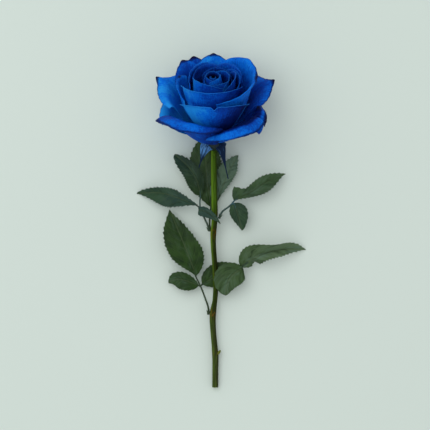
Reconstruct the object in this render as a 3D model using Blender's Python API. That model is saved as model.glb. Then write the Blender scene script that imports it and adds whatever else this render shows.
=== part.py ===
"""A dyed blue rose, cut and laid down on a surface.

The rose lies on the pressed rim of its back petal, on the cut end of its stem and on the tips
of its two longest leaflets. +Z is up, +Y runs along the stem towards the flower, and the origin
is at the middle of the rose's box, on the surface. Lengths below are millimetres and angles
degrees, unless a name says otherwise.

The flower has a frame of its own. Its axis leaves the top of the hip, and a place in it is a
radius and a height along the axis, with an azimuth that is 0 towards the viewer, 90 to the
right, 180 towards the surface and 270 to the left.
"""

import math
from dataclasses import dataclass

import bmesh
import bpy
import numpy as np

MM = 0.001

# The photograph, which sets places across the picture: pixels as seen from straight above
PIXEL = 0.8
PICTURE_CENTRE = (215.0, 215.0)
VIEW_HEIGHT = 3000.0
ORIGIN_PIXEL = (221.275, 220.89)

# The flower
FLOWER_PIXEL = (214.0, 139.0)
FLOWER_HEIGHT = 22.0
FLOWER_TILT = 38.0
PETAL_THICKNESS = 0.8
CORE_BOTTOM = -1.0
CORE_SIDES = 16
POINT_WIDTH = 0.1
TIP_WIDTH = 0.3
PROFILE_STEPS = 80

# The hip and the sepals under the flower
HIP_LENGTH = 10.0
HIP_SIDES = 12
HIP_RADIUS = 5.4
HIP_TOP = -1.4
SEPAL_THICKNESS = 0.8

# The stem
STEM_SIDES = 10
STEM_FOOT_HEIGHT = 2.45
STEM_NECK_HEIGHT = 12.5
STEM_TOP_GAP = 0.3

# The leaves
BLADE_THICKNESS = 0.7
STALK_RADIUS = 0.8
SIDE_STALK_RADIUS = 0.62
STALK_TIP_RADIUS = 0.52
STALK_SIDES = 6
SEAT_GAP = 0.4
LEAST_WIDTH = 0.4
TOOTH_DEPTH = 0.09
LEFT, RIGHT = 1, -1

# Working values
SKYWARD = np.array((0.0, 0.0, 1.0))
MERGE_DISTANCE = 0.00001   # metres
SHARP_ANGLE = 50.0


def clear_scene():
    """Remove every object, so that the script can be run again in an open file."""
    for item in list(bpy.data.objects):
        bpy.data.objects.remove(item, do_unlink=True)


def material(name, colour, roughness):
    """A plain material in the colour of one sub-part."""
    made = bpy.data.materials.new(name)
    made.use_nodes = True
    shader = made.node_tree.nodes["Principled BSDF"]
    shader.inputs["Base Color"].default_value = (*colour, 1.0)
    shader.inputs["Roughness"].default_value = roughness
    shader.inputs["Metallic"].default_value = 0.0
    return made


def place(across, down, height):
    """The point at a height above the surface that a pixel of the photograph shows."""
    scale = PIXEL * (VIEW_HEIGHT - height) / VIEW_HEIGHT
    x = (across - PICTURE_CENTRE[0]) * scale + (PICTURE_CENTRE[0] - ORIGIN_PIXEL[0]) * PIXEL
    y = (PICTURE_CENTRE[1] - down) * scale + (ORIGIN_PIXEL[1] - PICTURE_CENTRE[1]) * PIXEL
    return np.array((x, y, height))


def flower_to_world(points):
    """Turn points of the flower's frame (right, front, along the axis) into world points."""
    tilt = math.radians(FLOWER_TILT)
    foot = place(*FLOWER_PIXEL, FLOWER_HEIGHT)
    right, front, along = points[..., 0], points[..., 1], points[..., 2]
    y = along * math.cos(tilt) - front * math.sin(tilt)
    z = along * math.sin(tilt) + front * math.cos(tilt)
    return foot + np.stack([right, y, z], axis=-1)


def bezier(points, steps):
    """Points along one cubic curve through its first and last control point."""
    p0, p1, p2, p3 = (np.array(point, float) for point in points)
    t = np.linspace(0.0, 1.0, steps)[:, None]
    s = 1.0 - t
    return s**3 * p0 + 3 * s**2 * t * p1 + 3 * s * t**2 * p2 + t**3 * p3


def smooth_path(points, steps_each):
    """A smooth curve through hand-placed points, with an even number of steps between them."""
    points = np.array(points, float)
    before = 2 * points[0] - points[1]
    after = 2 * points[-1] - points[-2]
    padded = np.vstack([before, points, after])
    path = []
    for k in range(len(points) - 1):
        a, b, c, d = padded[k:k + 4]
        for t in np.arange(steps_each) / steps_each:
            path.append(0.5 * (2 * b + (c - a) * t + (2 * a - 5 * b + 4 * c - d) * t**2
                               + (3 * b - a - 3 * c + d) * t**3))
    path.append(points[-1])
    return np.array(path)


def bump(s, middle, spread):
    """A smooth rise from 0 to 1 and back about a middle."""
    return np.exp(-((s - middle) / spread) ** 2)


def unit(vectors):
    """Vectors brought to length 1 along the last axis."""
    return vectors / np.maximum(np.linalg.norm(vectors, axis=-1, keepdims=True), 1e-9)


def make_object(name, vertices, faces, shade_smooth=True):
    """An object from points in millimetres, with its faces turned outward."""
    mesh = bpy.data.meshes.new(name)
    mesh.from_pydata((np.asarray(vertices) * MM).tolist(), [], [list(face) for face in faces])
    work = bmesh.new()
    work.from_mesh(mesh)
    bmesh.ops.recalc_face_normals(work, faces=work.faces)
    work.to_mesh(mesh)
    work.free()
    if shade_smooth:
        mesh.shade_smooth()
    made = bpy.data.objects.new(name, mesh)
    bpy.context.scene.collection.objects.link(made)
    return made


def blade_object(name, sheet, thickness):
    """A closed blade of one thickness about a sheet of points, split alike on both faces."""
    along_rows = np.gradient(sheet, axis=0)
    along_columns = np.gradient(sheet, axis=1)
    normal = unit(np.cross(along_columns, along_rows))
    upper = (sheet + normal * thickness / 2).reshape(-1, 3)
    lower = (sheet - normal * thickness / 2).reshape(-1, 3)
    rows, columns = sheet.shape[:2]
    count = rows * columns
    index = np.arange(count).reshape(rows, columns)
    faces = []
    for r in range(rows - 1):
        for c in range(columns - 1):
            a, b = index[r, c], index[r, c + 1]
            d, e = index[r + 1, c], index[r + 1, c + 1]
            faces += [(a, b, e), (a, e, d)]
            faces += [(a + count, e + count, b + count), (a + count, d + count, e + count)]
    border = list(index[0, :-1]) + list(index[:-1, -1])
    border += list(index[-1, :0:-1]) + list(index[:0:-1, 0])
    for first, second in zip(border, border[1:] + border[:1]):
        faces += [(first, first + count, second + count), (first, second + count, second)]
    return make_object(name, np.vstack([upper, lower]), faces)


def tube_object(name, path, radii, sides):
    """A closed round tube along a path, with a radius for each of its points."""
    path = np.asarray(path, float)
    forward = unit(np.gradient(path, axis=0))
    side = unit(np.cross(forward, SKYWARD))
    up = np.cross(side, forward)
    angles = np.arange(sides) * 2 * math.pi / sides
    rings = []
    for k, centre in enumerate(path):
        spokes = np.outer(np.cos(angles), side[k]) + np.outer(np.sin(angles), up[k])
        rings.append(centre + radii[k] * spokes)
    vertices = np.vstack(rings)
    faces = [tuple(range(sides)), tuple(len(vertices) - sides + k for k in range(sides))]
    for ring in range(len(path) - 1):
        for k in range(sides):
            a, b = ring * sides + k, ring * sides + (k + 1) % sides
            faces.append((a, b, b + sides, a + sides))
    return make_object(name, vertices, faces)


def turned_object(name, profile, sides, to_world):
    """A solid turned about the flower's axis from (radius, height) pairs, closed at its ends."""
    angles = np.arange(sides) * 2 * math.pi / sides
    rings = []
    for radius, height in profile:
        ring = np.stack([radius * np.sin(angles), radius * np.cos(angles),
                         np.full(sides, float(height))], axis=-1)
        rings.append(to_world(ring))
    vertices = np.vstack(rings)
    faces = [tuple(range(sides)), tuple(len(vertices) - sides + k for k in range(sides))]
    for ring in range(len(profile) - 1):
        for k in range(sides):
            a, b = ring * sides + k, ring * sides + (k + 1) % sides
            faces.append((a, b, b + sides, a + sides))
    return make_object(name, vertices, faces)


def joined(name, pieces, colour):
    """Fuse overlapping pieces into one closed body by a single Boolean union."""
    first, others = pieces[0], pieces[1:]
    if others:
        group = bpy.data.collections.new(name + "_pieces")
        for piece in others:
            bpy.context.scene.collection.objects.unlink(piece)
            group.objects.link(piece)
        bpy.context.scene.collection.children.link(group)
        union = first.modifiers.new("union", "BOOLEAN")
        union.operation = "UNION"
        union.solver = "EXACT"
        union.operand_type = "COLLECTION"
        union.collection = group
        union.use_self = False
        depsgraph = bpy.context.evaluated_depsgraph_get()
        fused = bpy.data.meshes.new_from_object(first.evaluated_get(depsgraph))
        first.modifiers.clear()
        first.data = fused
        for piece in list(group.objects):
            bpy.data.objects.remove(piece, do_unlink=True)
        bpy.data.collections.remove(group)
    first.name = name
    first.data.name = name
    keep_largest_body(first.data)
    first.data.shade_smooth()
    first.data.set_sharp_from_angle(angle=math.radians(SHARP_ANGLE))
    first.data.materials.clear()
    first.data.materials.append(colour)
    return first


def keep_largest_body(mesh):
    """Drop loose scraps and fill sealed hollows, which the union leaves as separate shells."""
    work = bmesh.new()
    work.from_mesh(mesh)
    bmesh.ops.remove_doubles(work, verts=work.verts, dist=MERGE_DISTANCE)
    bmesh.ops.triangulate(work, faces=[face for face in work.faces if len(face.verts) > 3])
    unseen = set(work.faces)
    bodies = []
    while unseen:
        body = [unseen.pop()]
        for face in body:
            for edge in face.edges:
                for other in edge.link_faces:
                    if other in unseen:
                        unseen.discard(other)
                        body.append(other)
        bodies.append(body)
    bodies.sort(key=len)
    loose = [face for body in bodies[:-1] for face in body]
    bmesh.ops.delete(work, geom=loose, context="FACES")
    stray = [vertex for vertex in work.verts if not vertex.link_faces]
    bmesh.ops.delete(work, geom=stray, context="VERTS")
    work.to_mesh(mesh)
    work.free()


@dataclass
class Petal:
    """One petal of the flower, as a sheet that rises from its root and rolls over at its rim."""

    name: str
    azimuth: float
    half_span: float
    profile: tuple               # four (radius, height) control points, from root to crest
    roll: float = 90.0           # how far the rim turns outward past the crest
    roll_length: float = 5.0
    roll_ends: tuple = (0.65, 0.65)   # share of the roll's length at the two sides
    crown: tuple = (8.0, 8.0)    # how much lower the two sides end than the tip
    peak: float = 2.5            # 1 gives a pointed petal, 3 one with square shoulders
    tip_at: float = 0.0          # where the tip is, from -1 at one side to 1 at the other
    point: float = 0.0           # length of the small point at the tip
    lean: float = 0.0            # how much higher the second side stands than the first
    wrap: float = 0.0            # how much further out the second side lies than the first
    flare: float = 0.0           # how far the tip is drawn outward
    flare_width: float = 0.3
    tip_flat: float = 0.0        # how much less the rim turns at the tip, as a share
    ruffle: float = 0.0
    waves: float = 3.0
    phase: float = 0.0
    uneven: float = 0.3
    taper: float = 0.45          # how much narrower the root is than the rim
    narrowing: float = 1.5       # lower values draw the sides in nearer the rim
    nicks: tuple = ()            # small notches in the rim: (place, depth, width)
    centre: float = 0.0          # how far to the right of the axis the rim's centre is
    pressed: bool = False        # lies on the surface, which flattens it
    rows: int = 8
    columns: int = 9


BACK_ROOT = ((7, 3), (23, 3))
SECOND_ROOT = ((11, 12), (24, 12))
SIDE_ROOT = ((11, 12), (23, 14))
CUP_ROOT = ((11, 20), (21, 20))
BUD_ROOT = ((9, 30), (16, 30))
HEART_ROOT = ((7, 34), (12, 34))
SPIRAL_ROOT = ((5, 38), (8, 38))

GUARD_PETALS = [
    Petal("front_right", 41, 55, ((7, 4), (20, 8), (29, 18), (31.5, 30)), roll=150,
          roll_length=19, roll_ends=(0.2, 0.15), crown=(11, 0), peak=2.4, wrap=3, ruffle=0.5,
          waves=4, phase=0.6, nicks=((0.45, 4, 0.04), (0.58, 4, 0.04)), taper=0.2),
    Petal("front_left", -37, 49, ((7, 3), (23, 7), (30, 20), (33.5, 34)), roll=125,
          roll_length=18, roll_ends=(1.1, 0.15), crown=(11, 5), peak=2.2, lean=4, wrap=-2,
          ruffle=0.4, phase=2.0, taper=0.2),
    Petal("back_left", -124, 42, BACK_ROOT + ((33, 11), (34, 23)), roll=125, roll_length=10,
          crown=(5, 6), peak=2.2, wrap=4, ruffle=0.5, phase=1.0, taper=0.2, rows=7),
    Petal("back", 180, 42, BACK_ROOT + ((39, 8), (43, 19)), roll=110, roll_length=6,
          crown=(5, 5), peak=2.2, ruffle=0.3, phase=3.0, taper=0.2, pressed=True),
    Petal("back_right", 116, 42, BACK_ROOT + ((33, 10), (33, 18)), roll=125, roll_length=10,
          crown=(6, 5), peak=2.2, ruffle=0.5, phase=4.0, taper=0.2, rows=7),
    Petal("front_lining", 4, 44, ((10, 11), (19, 12), (26, 20), (28.5, 28)), roll=30,
          roll_length=3, crown=(6, 6), peak=2.4, ruffle=0.2, phase=3.3, taper=0.3),
]

SECOND_PETALS = [
    Petal("left", -105.5, 32, SIDE_ROOT + ((26, 28), (36.5, 39.5)), roll=115, roll_length=10.5,
          roll_ends=(0.65, 0.5), crown=(0, 2), peak=1.8, tip_at=-0.37, point=2, wrap=-3, flare=4,
          flare_width=0.2, tip_flat=0.45, ruffle=0.3, phase=1.0, taper=0.05, rows=7),
    Petal("right", 112, 30, SIDE_ROOT + ((26, 28), (38, 38)), roll=60, roll_length=10,
          crown=(5, 2), peak=1.8, point=2, wrap=2, flare=3, tip_flat=0.6, ruffle=0.3, phase=2.0,
          taper=0.1, rows=7),
    Petal("far_left", -144, 33, SECOND_ROOT + ((30, 30), (34.5, 44.5)), roll=50, roll_length=10,
          crown=(7, 7), peak=1.7, ruffle=0.4, phase=1.0, wrap=-3, tip_at=0.05, point=1.5,
          roll_ends=(0.65, 0.3), rows=7),
    Petal("far_tip", -154.5, 30, ((11, 11), (24, 12), (32, 30), (37, 44.5)), roll=50, roll_length=10,
          crown=(12, 12), peak=1.2, tip_at=-0.1, point=0.5, phase=5.0, ruffle=0.3, rows=7),
    Petal("far", 181, 38, ((11, 14), (23, 14), (28, 32), (31, 49)), roll=45, roll_length=10,
          crown=(12, 12), peak=1.3, ruffle=0.3, phase=5.0, point=1, rows=7),
]

CUP_PETALS = [
    Petal("cup_front_low", 2, 58, ((12, 16), (25, 16), (30, 34), (31, 52)), roll=70,
          roll_length=5, crown=(8, 7), lean=-1, nicks=((-0.03, 3, 0.05),), taper=0.85,
          narrowing=0.8, rows=7),
    Petal("cup_right", 88, 87, ((11, 20), (23, 20), (27, 42), (30, 59.5)), roll=80, roll_length=5,
          crown=(10.5, 9), peak=2.2, lean=-3, wrap=3, tip_at=0.48, point=1.5, centre=1,
          taper=0.4, rows=7, columns=10),
    Petal("cup_front", -2, 79, ((11, 20), (20, 20), (23, 42), (24, 60.5)), roll=60,
          roll_length=4, crown=(7, 7), wrap=-1.5, taper=0.4, rows=7, columns=9),
    Petal("cup_left", -96, 36, ((11, 20), (22, 20), (26.5, 40), (28, 50.5)), roll=55,
          roll_length=4, crown=(5, 4), wrap=-1, taper=0.4, rows=7, columns=7),
    Petal("cup_far_left", -138, 56, CUP_ROOT + ((21, 42), (21, 57)), roll=40, roll_length=3,
          crown=(5, 5), wrap=-2.5, rows=6, columns=8),
    Petal("cup_far_left_inner", -150, 50, ((11, 22), (17, 22), (18.5, 42), (18.5, 57)), roll=40,
          roll_length=3, crown=(5, 5), wrap=-2, rows=6, columns=7),
    Petal("cup_far_right", 141.3, 40, ((11, 22), (20, 22), (21.5, 42), (22, 56)), roll=40,
          roll_length=4, crown=(6, 5), rows=6, columns=7),
    Petal("cup_far_right_inner", 105, 50, ((11, 24), (18, 24), (19.5, 42), (19.5, 57)), roll=40,
          roll_length=3, crown=(5, 5), rows=6, columns=8),
]

BUD_PETALS = [
    Petal("bud_left", -32, 60, BUD_ROOT + ((17, 46), (15.5, 61.5)), roll=50, roll_length=3,
          crown=(4, 4), uneven=0.15, rows=6, columns=8),
    Petal("bud_right", 78, 54, BUD_ROOT + ((17.5, 46), (16.5, 61)), roll=50, roll_length=3,
          crown=(6, 6), uneven=0.15, rows=6, columns=8),
    Petal("bud_far", 160, 62, ((9, 30), (14, 30), (14.5, 46), (14, 58)), roll=20,
          roll_length=2, crown=(5, 5), uneven=0.15, rows=5, columns=8),
]

HEART_PETALS = [
    Petal("heart_front", 20, 80, HEART_ROOT + ((12, 48), (10, 59)), roll=25, roll_length=1.5,
          crown=(4, 4), uneven=0.1, centre=1.5, rows=5, columns=8),
    Petal("heart_right", 111, 80, HEART_ROOT + ((12, 48), (10, 60)), roll=20, roll_length=1.5,
          crown=(4, 4), uneven=0.1, centre=2, rows=5, columns=8),
    Petal("heart_left", -130, 80, ((7, 34), (11, 34), (10.5, 48), (8.5, 59.5)), roll=20,
          roll_length=1.5, crown=(4, 4), uneven=0.1, centre=1, rows=5, columns=8),
    Petal("spiral_right", 60, 85, SPIRAL_ROOT + ((8, 50), (6, 61.5)), roll=20, roll_length=1,
          crown=(3, 3), uneven=0.1, centre=-1, rows=4, columns=8),
    Petal("spiral_left", -60, 85, SPIRAL_ROOT + ((7.5, 50), (5.5, 61)), roll=20, roll_length=1,
          crown=(3, 3), uneven=0.1, centre=-1, rows=4, columns=8),
    Petal("spiral_far", 180, 85, SPIRAL_ROOT + ((7.5, 50), (5.5, 61.5)), roll=15,
          roll_length=1, crown=(3, 3), uneven=0.1, centre=-1, rows=4, columns=8),
    Petal("eye", -20, 150, ((3, 40), (5, 40), (4.5, 50), (2.2, 60)), roll=10, roll_length=1,
          crown=(1, 1), wrap=0.8, uneven=0.0, centre=-1.5, rows=4, columns=11),
]

PETALS = GUARD_PETALS + SECOND_PETALS + CUP_PETALS + BUD_PETALS + HEART_PETALS

# The hidden disc and dome that all petals grow from
CORE_PROFILE = [(3.4, CORE_BOTTOM), (7.0, 1.2), (9.2, 3.0), (12.2, 8.0), (13.4, 14.0),
                (13.2, 24.0), (11.2, 31.0), (8.6, 37.0), (5.4, 41.5), (1.5, 44.0)]


def petal_grid(petal, rows, columns):
    """Places on a petal: u from -1 to 1 across it, v from 0 at the root to 1 at the rim."""
    left = round(columns * (1 + petal.tip_at) / 2)
    across = np.concatenate([np.linspace(-1, petal.tip_at, left + 1),
                             np.linspace(petal.tip_at, 1, columns - left + 1)[1:]])
    up = 1 - (1 - np.linspace(0, 1, rows + 1)) ** 1.5
    return np.meshgrid(across, up)


def rim_drop(petal, u):
    """How much sooner the petal ends than its profile, at each place across it."""
    beyond = np.where(u > petal.tip_at, (u - petal.tip_at) / (1 - petal.tip_at),
                      (petal.tip_at - u) / (1 + petal.tip_at))
    crown = np.where(u > petal.tip_at, petal.crown[1], petal.crown[0])
    drop = crown * beyond ** petal.peak - petal.lean * u
    drop = drop - petal.point * bump(u, petal.tip_at, POINT_WIDTH)
    for at, depth, width in petal.nicks:
        drop = drop + depth * bump(u, at, width)
    return drop


def rolled_profile(petal, u, v):
    """Radius and height on the petal, which follows its profile and then rolls outward."""
    line = bezier(petal.profile, PROFILE_STEPS)
    arc = np.concatenate([[0.0], np.cumsum(np.linalg.norm(np.diff(line, axis=0), axis=1))])
    end = arc[-1] - rim_drop(petal, u)
    ends = np.where(u > 0, petal.roll_ends[1], petal.roll_ends[0])
    roll_length = petal.roll_length * (1 + (ends - 1) * u**2)
    travelled = v * (end + roll_length)
    climbed = np.minimum(travelled, end)
    past = np.maximum(climbed - arc[-1], 0.0)
    last = unit(line[-1] - line[-2])
    radius = np.interp(climbed, arc, line[:, 0]) + past * last[0]
    height = np.interp(climbed, arc, line[:, 1]) + past * last[1]

    slope = unit(np.gradient(line, arc, axis=0))
    out = np.interp(end, arc, slope[:, 0])
    rise = np.interp(end, arc, slope[:, 1])
    angle = math.radians(petal.roll) * (1 - petal.tip_flat * bump(u, petal.tip_at, TIP_WIDTH))
    turned = angle * np.clip((travelled - end) / roll_length, 0, 1)
    ahead = roll_length / angle * np.sin(turned)
    aside = roll_length / angle * (1 - np.cos(turned))
    return radius + ahead * out + aside * rise, height + ahead * rise - aside * out


def ripples(petal, u, v):
    """How far the petal's waves and lumps move its surface outward and up."""
    ruffle = petal.ruffle * v ** 4
    outward = ruffle * np.sin(petal.waves * math.pi * u + petal.phase)
    upward = 0.6 * ruffle * np.cos(1.3 * petal.waves * math.pi * u + 1.7 * petal.phase)
    lumps = (np.sin(2.3 * u + 3.1 * v + 5 * petal.phase)
             + 0.6 * np.sin(4.9 * u - 2.2 * v + 3 * petal.phase)
             + 0.5 * np.sin(1.7 * u + 6.3 * v + 7 * petal.phase))
    return outward + petal.uneven * lumps * v ** 2, upward


def petal_sheet(petal, rows, columns):
    """The sheet of one petal in the flower's frame, as rows from root to rim."""
    u, v = petal_grid(petal, rows, columns)
    radius, height = rolled_profile(petal, u, v)
    outward, upward = ripples(petal, u, v)
    flare = petal.flare * bump(u, petal.tip_at, petal.flare_width) * v ** 3
    radius = radius + outward + flare + petal.wrap * u * v ** 2
    spread = petal.half_span * (1 - petal.taper * (1 - v) ** petal.narrowing)
    azimuth = np.radians(petal.azimuth + spread * u)
    right = radius * np.sin(azimuth) + petal.centre * v ** 2
    front = radius * np.cos(azimuth)
    return np.stack([right, front, height + upward], axis=-1)


def petal_object(petal):
    """One petal as a closed blade, flattened where it is pressed on the surface."""
    sheet = flower_to_world(petal_sheet(petal, petal.rows, petal.columns))
    if petal.pressed:
        sheet[..., 2] = np.maximum(sheet[..., 2], PETAL_THICKNESS / 2)
    return blade_object(petal.name, sheet, PETAL_THICKNESS)


def bloom():
    """All petals on their hidden core, as one body."""
    pieces = [turned_object("core", CORE_PROFILE, CORE_SIDES, flower_to_world)]
    pieces += [petal_object(petal) for petal in PETALS]
    return joined("bloom", pieces, material("petal_blue", (0.006, 0.095, 0.42), 0.6))


@dataclass
class Leaflet:
    """One leaflet or sepal: a midrib between pixels of the photograph, and two halves.

    A half is (its width, where it is widest from 0 at the base to 1 at the tip, how thin it
    runs out: higher is thinner). A swelling or a turn is (half, place, spread, amount), where
    half is LEFT or RIGHT as one looks along the midrib from above.
    """

    midrib: tuple            # four control points: (pixel across, pixel down, height)
    left: tuple
    right: tuple
    fold: float = 15.0       # how far both halves are raised from level
    roll_base: float = 0.0   # how far the blade is turned about its midrib, left half up
    roll_tip: float = 0.0
    swellings: tuple = ()    # where a half is wider, by an amount in millimetres
    turns: tuple = ()        # where a half turns up or down, by an angle
    curl: float = 0.06       # how far the margins bend down again
    teeth: int = 6           # none for a sepal


def half_width(half, s):
    """The width of one half of a blade along its midrib."""
    width, widest, thinness = half
    rise = thinness * widest / (1 - widest)
    return width * (s / widest) ** rise * ((1 - s) / (1 - widest)) ** thinness


def leaflet_sheet(leaflet, corners, facing, rows):
    """The sheet of one leaflet about its midrib, as rows from its base to its tip."""
    line = bezier(corners, rows + 1)
    forward = unit(np.gradient(line, axis=0))
    left = unit(np.cross(facing, forward))
    up = np.cross(forward, left)
    s = np.linspace(0.0, 1.0, rows + 1)
    roll = leaflet.roll_base + (leaflet.roll_tip - leaflet.roll_base) * s
    margin = 1 - TOOTH_DEPTH * (np.arange(rows + 1) % 2 - 0.5) if leaflet.teeth else 1.0
    columns = []
    for t in (-1.0, -0.5, 0.0, 0.5, 1.0):
        side = LEFT if t > 0 else RIGHT
        width = half_width(leaflet.left if side == LEFT else leaflet.right, s)
        tilt = leaflet.fold + side * roll
        for half, place_on, spread, amount in leaflet.swellings:
            width = width + (half == side) * amount * bump(s, place_on, spread) * (s > 0)
        for half, place_on, spread, angle in leaflet.turns:
            tilt = tilt + (half == side) * angle * bump(s, place_on, spread)
        width = np.maximum(width * margin, LEAST_WIDTH)
        tilt = np.radians(tilt)
        aside = t * width * np.cos(tilt)
        lift = abs(t) * width * np.sin(tilt) - leaflet.curl * t * t * width
        columns.append(line + left * aside[:, None] + up * lift[:, None])
    sheet = np.stack(columns, axis=1)
    sheet[..., 2] = np.maximum(sheet[..., 2], BLADE_THICKNESS / 2)
    return sheet


def leaflet_object(name, leaflet):
    """One leaflet as a closed blade whose margin is cut into teeth."""
    corners = [place(*point) for point in leaflet.midrib]
    sheet = leaflet_sheet(leaflet, corners, SKYWARD, 2 * leaflet.teeth + 1)
    return blade_object(name, sheet, BLADE_THICKNESS)


# The stem's middle line and its width, read from the photograph: (pixel across, pixel down)
# and the stem's radius there
STEM_LINE = [
    ((215.2, 387.3), 2.45),
    ((215.3, 370.0), 2.45),
    ((215.4, 357.0), 2.6),
    ((214.6, 346.0), 2.4),
    ((213.4, 333.0), 2.35),
    ((212.7, 320.0), 2.55),
    ((213.2, 311.0), 2.55),
    ((214.8, 301.0), 2.0),
    ((215.6, 290.0), 2.1),
    ((215.3, 274.0), 2.2),
    ((214.4, 260.0), 2.15),
    ((213.4, 246.0), 2.2),
    ((213.3, 234.0), 2.4),
    ((214.4, 222.0), 2.4),
    ((214.6, 210.0), 2.6),
    ((214.4, 199.0), 2.55),
    ((214.0, 176.0), 2.45),
]
NECK_RADIUS = 2.4
NECK_STEPS = 4
NECK_END = 1.5


def stem_height(down):
    """The height of the stem's middle above the surface, at a row of the photograph."""
    first, last = STEM_LINE[0][0][1], STEM_LINE[-1][0][1]
    share = (first - down) / (first - last)
    return STEM_FOOT_HEIGHT + share * (STEM_NECK_HEIGHT - STEM_FOOT_HEIGHT)


def stem_path():
    """Centres and radii from the cut end to the hip, with the neck's bend at the top."""
    points = [place(*pixel, stem_height(pixel[1])) for pixel, _ in STEM_LINE]
    radii = [radius for _, radius in STEM_LINE]
    top = flower_to_world(np.array((0.0, 0.0, -HIP_LENGTH - STEM_TOP_GAP)))
    axis = unit(flower_to_world(np.array((0.0, 0.0, 1.0))) - flower_to_world(np.zeros(3)))
    run = unit(points[-1] - points[-2])
    joint = top - NECK_END * axis
    bend = bezier((points[-1], points[-1] + 9 * run, joint - 5 * axis, joint), NECK_STEPS + 1)
    path = np.vstack([points, bend[1:], top])
    return path, radii + [NECK_RADIUS] * (NECK_STEPS + 1)


def beside_stem(down, angle, radius):
    """A place beside the stem where a stalk of some radius is seated, and the stem's middle.

    The angle is 0 to the right, 90 towards the viewer, 180 to the left.
    """
    rows = [pixel[1] for pixel, _ in STEM_LINE][::-1]
    across = np.interp(down, rows, [pixel[0] for pixel, _ in STEM_LINE][::-1])
    stem_radius = np.interp(down, rows, [radius for _, radius in STEM_LINE][::-1])
    centre = place(across, down, stem_height(down))
    turn = math.radians(angle)
    reach = stem_radius + SEAT_GAP + radius
    return centre + reach * np.array((math.cos(turn), 0.0, math.sin(turn)))


BUD_STUB = [((215.6, 355.0), 0.9), ((217.6, 353.5), 1.3), ((219.4, 351.8), 1.0),
            ((220.4, 350.2), 0.5)]


def stem():
    """The stem with its node swellings, its cut end and the small bud stub low on the right."""
    path, radii = stem_path()
    shaft = tube_object("shaft", path, radii, STEM_SIDES)
    stub_path = [place(*pixel, stem_height(pixel[1]) + 0.5) for pixel, _ in BUD_STUB]
    stub = tube_object("stub", stub_path, [radius for _, radius in BUD_STUB], 6)
    return joined("stem", [shaft, stub], material("stem_green", (0.055, 0.12, 0.012), 0.5))


FRONT_SEPALS = {
    "sepal_left": Leaflet(((210.5, 143.6, 20.8), (204.5, 145.0, 24.5), (204.0, 152.0, 22.5),
                           (199.0, 167.5, 15.5)), left=(5.2, 0.18, 1.6),
                          right=(5.0, 0.22, 1.6), fold=8, teeth=0),
    "sepal_right": Leaflet(((217.2, 143.8, 20.8), (222.5, 145.0, 24.5), (222.5, 156.0, 22.0),
                            (228.2, 178.7, 11.5)), left=(4.2, 0.2, 2.0),
                           right=(4.0, 0.22, 2.0), fold=12, teeth=0),
}
BACK_SEPAL_AZIMUTHS = (112.0, 180.0, 248.0)
BACK_SEPAL_PROFILE = ((4.0, -3.2), (9.0, -2.6), (10.5, -7.0), (7.5, -13.0))
BACK_SEPAL = Leaflet((), left=(3.6, 0.3, 1.6), right=(3.6, 0.3, 1.6), fold=12, teeth=0)
SEPAL_ROWS = 7
HIP_PROFILE = [(2.5, -HIP_LENGTH), (3.4, -8.6), (4.8, -6.6), (HIP_RADIUS, -4.4),
               (5.2, -2.6), (4.4, HIP_TOP)]


def back_sepal(azimuth):
    """A sepal on the side of the hip that faces the surface, hanging along the neck."""
    turn = math.radians(azimuth)
    corners = [flower_to_world(np.array((radius * math.sin(turn), radius * math.cos(turn), height)))
               for radius, height in BACK_SEPAL_PROFILE]
    outward = np.array((math.sin(turn), math.cos(turn), 1.0))
    facing = flower_to_world(outward) - flower_to_world(np.zeros(3))
    sheet = leaflet_sheet(BACK_SEPAL, corners, unit(facing), SEPAL_ROWS)
    return blade_object("sepal_back", sheet, SEPAL_THICKNESS)


def front_sepal(name, sepal):
    """A sepal that shows below the flower, placed from the photograph."""
    corners = [place(*point) for point in sepal.midrib]
    sheet = leaflet_sheet(sepal, corners, SKYWARD, SEPAL_ROWS)
    return blade_object(name, sheet, SEPAL_THICKNESS)


def calyx():
    """The hip under the flower, with the five sepals that hang from its top."""
    pieces = [turned_object("hip", HIP_PROFILE, HIP_SIDES, flower_to_world)]
    pieces += [front_sepal(name, sepal) for name, sepal in FRONT_SEPALS.items()]
    pieces += [back_sepal(azimuth) for azimuth in BACK_SEPAL_AZIMUTHS]
    return joined("calyx", pieces, material("sepal_blue", (0.03, 0.10, 0.20), 0.6))


@dataclass
class Leaf:
    """A compound leaf: stalks as (pixel across, pixel down, height), and its leaflets.

    The first stalk is seated beside the stem, at a row and an angle round it.
    """

    seat: tuple
    stalks: tuple
    leaflets: dict


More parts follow.
